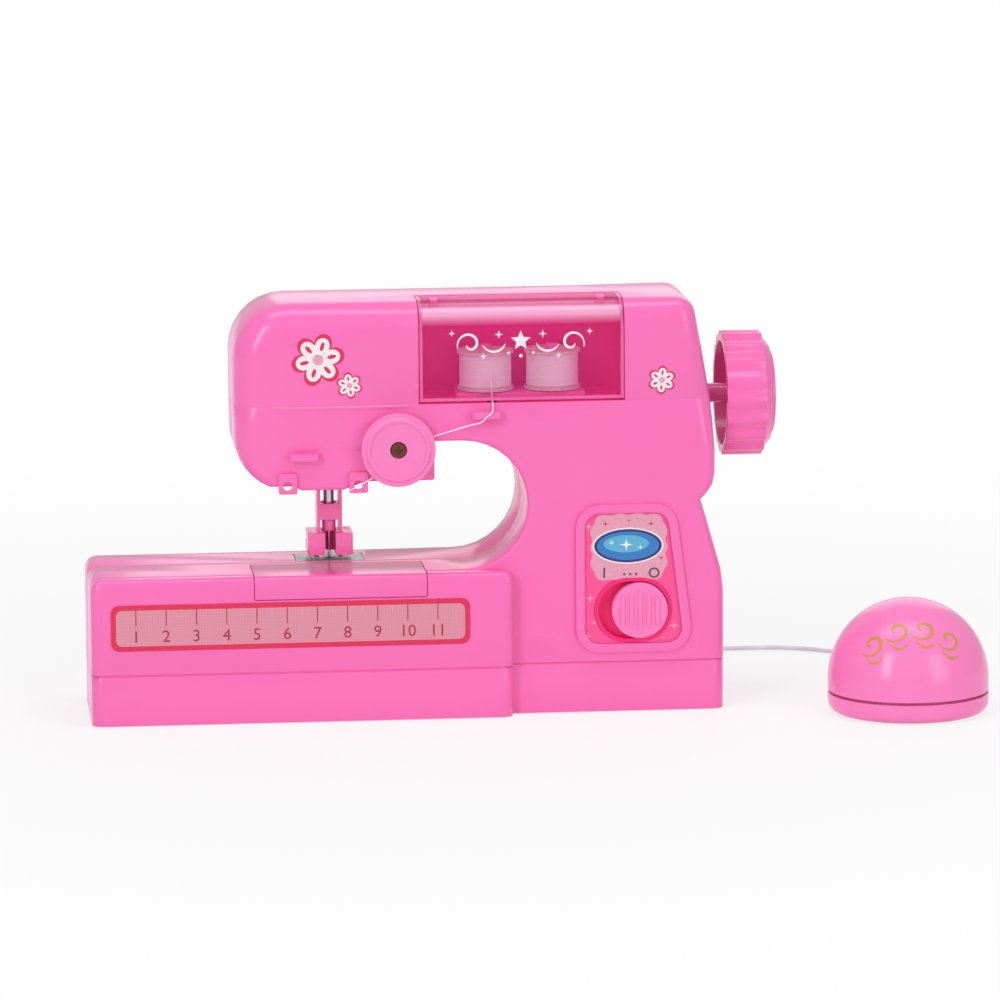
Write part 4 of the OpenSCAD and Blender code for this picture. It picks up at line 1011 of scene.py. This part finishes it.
class TOY_OT_panel(bpy.types.Operator):
    """Finishes the control panel and prints its label"""

    bl_idname = "toy.panel"
    bl_label = "Control panel"

    def execute(self, context):
        edge = sizes().edge
        rise = sizes().print_rise
        face = front_of("panel_label")
        dress(["panel_rim"], "casing", edge)
        dress(["switch_knob"], "fittings", edge)
        dress(["switch_cup"], "inside")
        dress(["panel_label"], "label")
        plates("panel_field", [self.field()], face, rise, "field", "casing")
        step = rise / MM
        badge_x, badge_z = 72.9, 55.9
        ovals = [
            ("badge_edge", ellipse(badge_x, badge_z, 11.9, 6.1, 72), "white"),
            ("badge_rim", ellipse(badge_x, badge_z, 11.3, 5.6, 72), "badge_rim"),
            ("badge", ellipse(badge_x, badge_z, 10.4, 4.8, 72), "badge"),
            ("badge_light", ellipse(72.3, 56.6, 7.6, 2.9, 64), "badge_light"),
        ]
        for k, (name, oval, finish) in enumerate(ovals, 1):
            plates(name, [oval], face - k * step, rise, finish, "casing")
        glints = [sparkle(72.3, 56.3, 2.2), sparkle(67.4, 57.0, 1.0), sparkle(77.0, 55.4, 1.0)]
        plates("badge_glints", glints, face - (len(ovals) + 1) * step, rise, "white", "casing")
        signs, height, weight = [("I", 64.9, 46.7), ("O", 81.6, 46.4)], 3.6 * MM, 0.06 * MM
        letters("switch_signs", signs, height, "ink", face - step, rise, "casing", weight)
        first_dot, gap, dot_z, dot_r = 71.6, 2.0, 46.3, 0.42
        dots = [ellipse(first_dot + gap * k, dot_z, dot_r, dot_r, 16) for k in range(3)]
        plates("switch_dots", dots, face - step, rise, "ink", "casing")
        pale = [
            sparkle(59.6, 62.6, 1.7), sparkle(60.2, 38.4, 1.5), sparkle(61.6, 30.2, 1.1),
            sparkle(88.2, 28.6, 1.6), sparkle(87.0, 36.4, 1.0), sparkle(59.4, 25.4, 1.3),
            sparkle(84.6, 24.6, 0.9)]
        plates("panel_sparkles", pale, face, rise, "field", "casing")
        dark = [
            sparkle(65.4, 63.4, 1.1), sparkle(80.6, 63.2, 1.2), sparkle(73.2, 64.4, 0.8),
            sparkle(84.0, 51.6, 0.9)]
        plates("field_sparkles", dark, face - step, rise, "crimson", "casing")
        return {"FINISHED"}

    def field(self):
        """The pale field with its wavy edge."""
        cx, cz, rx, rz = 73.2, 55.4, 12.6, 11.2
        waves, wave_share, squareness, count = 14, 0.03, 5, 140
        points = []
        for k in range(count):
            a = 2 * math.pi * k / count
            square = (abs(math.cos(a)) ** squareness + abs(math.sin(a)) ** squareness) ** (-1 / squareness)
            d = square * (1 + wave_share * math.cos(waves * a))
            points.append((cx + rx * d * math.cos(a), cz + rz * d * math.sin(a)))
        return points


class TOY_OT_ruler(bpy.types.Operator):
    """Prints the ruler on the bed's front"""

    bl_idname = "toy.ruler"
    bl_label = "Ruler"

    def execute(self, context):
        rise = sizes().print_rise
        step = rise / MM
        face = front_of("ruler_label")
        dress(["ruler_label"], "crimson")
        left, right, low, top, corner = -97.8, 17.8, 26.9, 38.9, 2.0
        numbers, height, middle = range(1, 12), 4.1 * MM, 29.9
        field = rounded(left, low, right, top, corner)
        plates("ruler_field", [field], face, rise, "ruler", "casing")
        marks = [self.tick(n, 0.32, 33.6, top) for n in numbers]
        plates("ruler_marks", marks, face - step, rise, "ruler_ink", "casing")
        halves = [self.tick(n + 0.5, 0.22, 36.2, top) for n in numbers]
        plates("ruler_halves", halves, face - step, rise, "field", "casing")
        words = [(str(n), self.spot(n), middle) for n in numbers]
        letters("ruler_numbers", words, height, "ruler_ink", face - step, rise, "casing")
        return {"FINISHED"}

    def spot(self, n):
        """Where a centimetre's tick stands."""
        zero, centimetre = -101.2, 10.0
        return zero + centimetre * n

    def tick(self, n, width, low, top):
        """A tick that hangs from the ruler's top edge."""
        left = self.spot(n) - width / 2
        right = left + width
        return [(left, low), (right, low), (right, top), (left, top)]


class TOY_OT_pedal(bpy.types.Operator):
    """Finishes the foot switch and prints its gold scrolls"""

    bl_idname = "toy.pedal"
    bl_label = "Foot switch"

    def execute(self, context):
        dress(["pedal_dome", "pedal_base"], "fittings")
        self.spring()
        count, gap, crown, arch = 4, 8.8, 3.5, 0.02
        strokes = []
        for k in range(count):
            x = gap * (k - (count - 1) / 2)
            z = crown - arch * x * x
            strokes.append(tapered(curl(x, z, 4.6, 0.8, 205, 600, 48), self.on_dome, 1.3 * MM))
            strokes.append(tapered(curl(x + 0.9, z - 3.6, 3.8, 3.0, 200, 325), self.on_dome, 1.0 * MM))
        ribbons("pedal_scrolls", strokes, sizes().print_rise * 2, "gold", "pedal")
        return {"FINISHED"}

    def spring(self):
        """The return spring, wound as a steel coil in place of the packed spring."""
        low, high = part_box("pedal_spring")
        wire, turns, travel = 0.45 * MM, 4, 0.7 * MM
        middle = (low + high) / 2
        pitch = (high.z - low.z - 2 * wire) / turns
        made = bmesh.new()
        coil(made, middle, (high.x - low.x) / 2 - wire, low.z + wire, pitch, turns, wire, 24, 8)
        spring = piece("return_spring", finished(made, "return_spring", True), "steel", "casing")
        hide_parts("pedal_spring")
        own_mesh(spring)

    def on_dome(self, p):
        """A flat point in millimetres laid on the dome, which faces forward and up."""
        low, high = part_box("pedal_dome")
        r = (high.x - low.x) / 2
        centre = Vector(((low.x + high.x) / 2, (low.y + high.y) / 2, high.z - r))
        ahead = Vector((-0.09, -0.76, 0.65)).normalized()
        across = Vector((1, 0, 0)) - ahead * ahead.x
        across.normalize()
        upward = across.cross(-ahead).normalized()
        a = math.hypot(*p) * MM / r
        b = math.atan2(p[1], p[0])
        normal = ahead * math.cos(a) + (across * math.cos(b) + upward * math.sin(b)) * math.sin(a)
        return centre + normal * r, normal


class TOY_PT_panel(bpy.types.Panel):
    """Lists the steps that dress the machine"""

    bl_label = "Toy Sewing Machine"
    bl_idname = "TOY_PT_panel"
    bl_space_type = "VIEW_3D"
    bl_region_type = "UI"
    bl_category = "Toy"

    def draw(self, context):
        for step in STEPS:
            self.layout.operator(step.bl_idname)


STEPS = (
    TOY_OT_stage, TOY_OT_lead, TOY_OT_casing, TOY_OT_door, TOY_OT_spools, TOY_OT_thread,
    TOY_OT_metalwork, TOY_OT_stickers, TOY_OT_panel, TOY_OT_ruler, TOY_OT_pedal,
)
CLASSES = (ToyColours, ToySizes) + STEPS + (TOY_PT_panel,)


def register():
    for cls in CLASSES:
        bpy.utils.register_class(cls)
    bpy.types.Scene.toy_colours = PointerProperty(type=ToyColours)
    bpy.types.Scene.toy_sizes = PointerProperty(type=ToySizes)


def unregister():
    del bpy.types.Scene.toy_sizes
    del bpy.types.Scene.toy_colours
    for cls in reversed(CLASSES):
        bpy.utils.unregister_class(cls)


def main():
    register()
    bpy.ops.toy.stage()
    bpy.ops.toy.lead()
    bpy.ops.toy.casing()
    bpy.ops.toy.door()
    bpy.ops.toy.spools()
    bpy.ops.toy.thread()
    bpy.ops.toy.metalwork()
    bpy.ops.toy.stickers()
    bpy.ops.toy.panel()
    bpy.ops.toy.ruler()
    bpy.ops.toy.pedal()


if __name__ == "__main__":
    main()
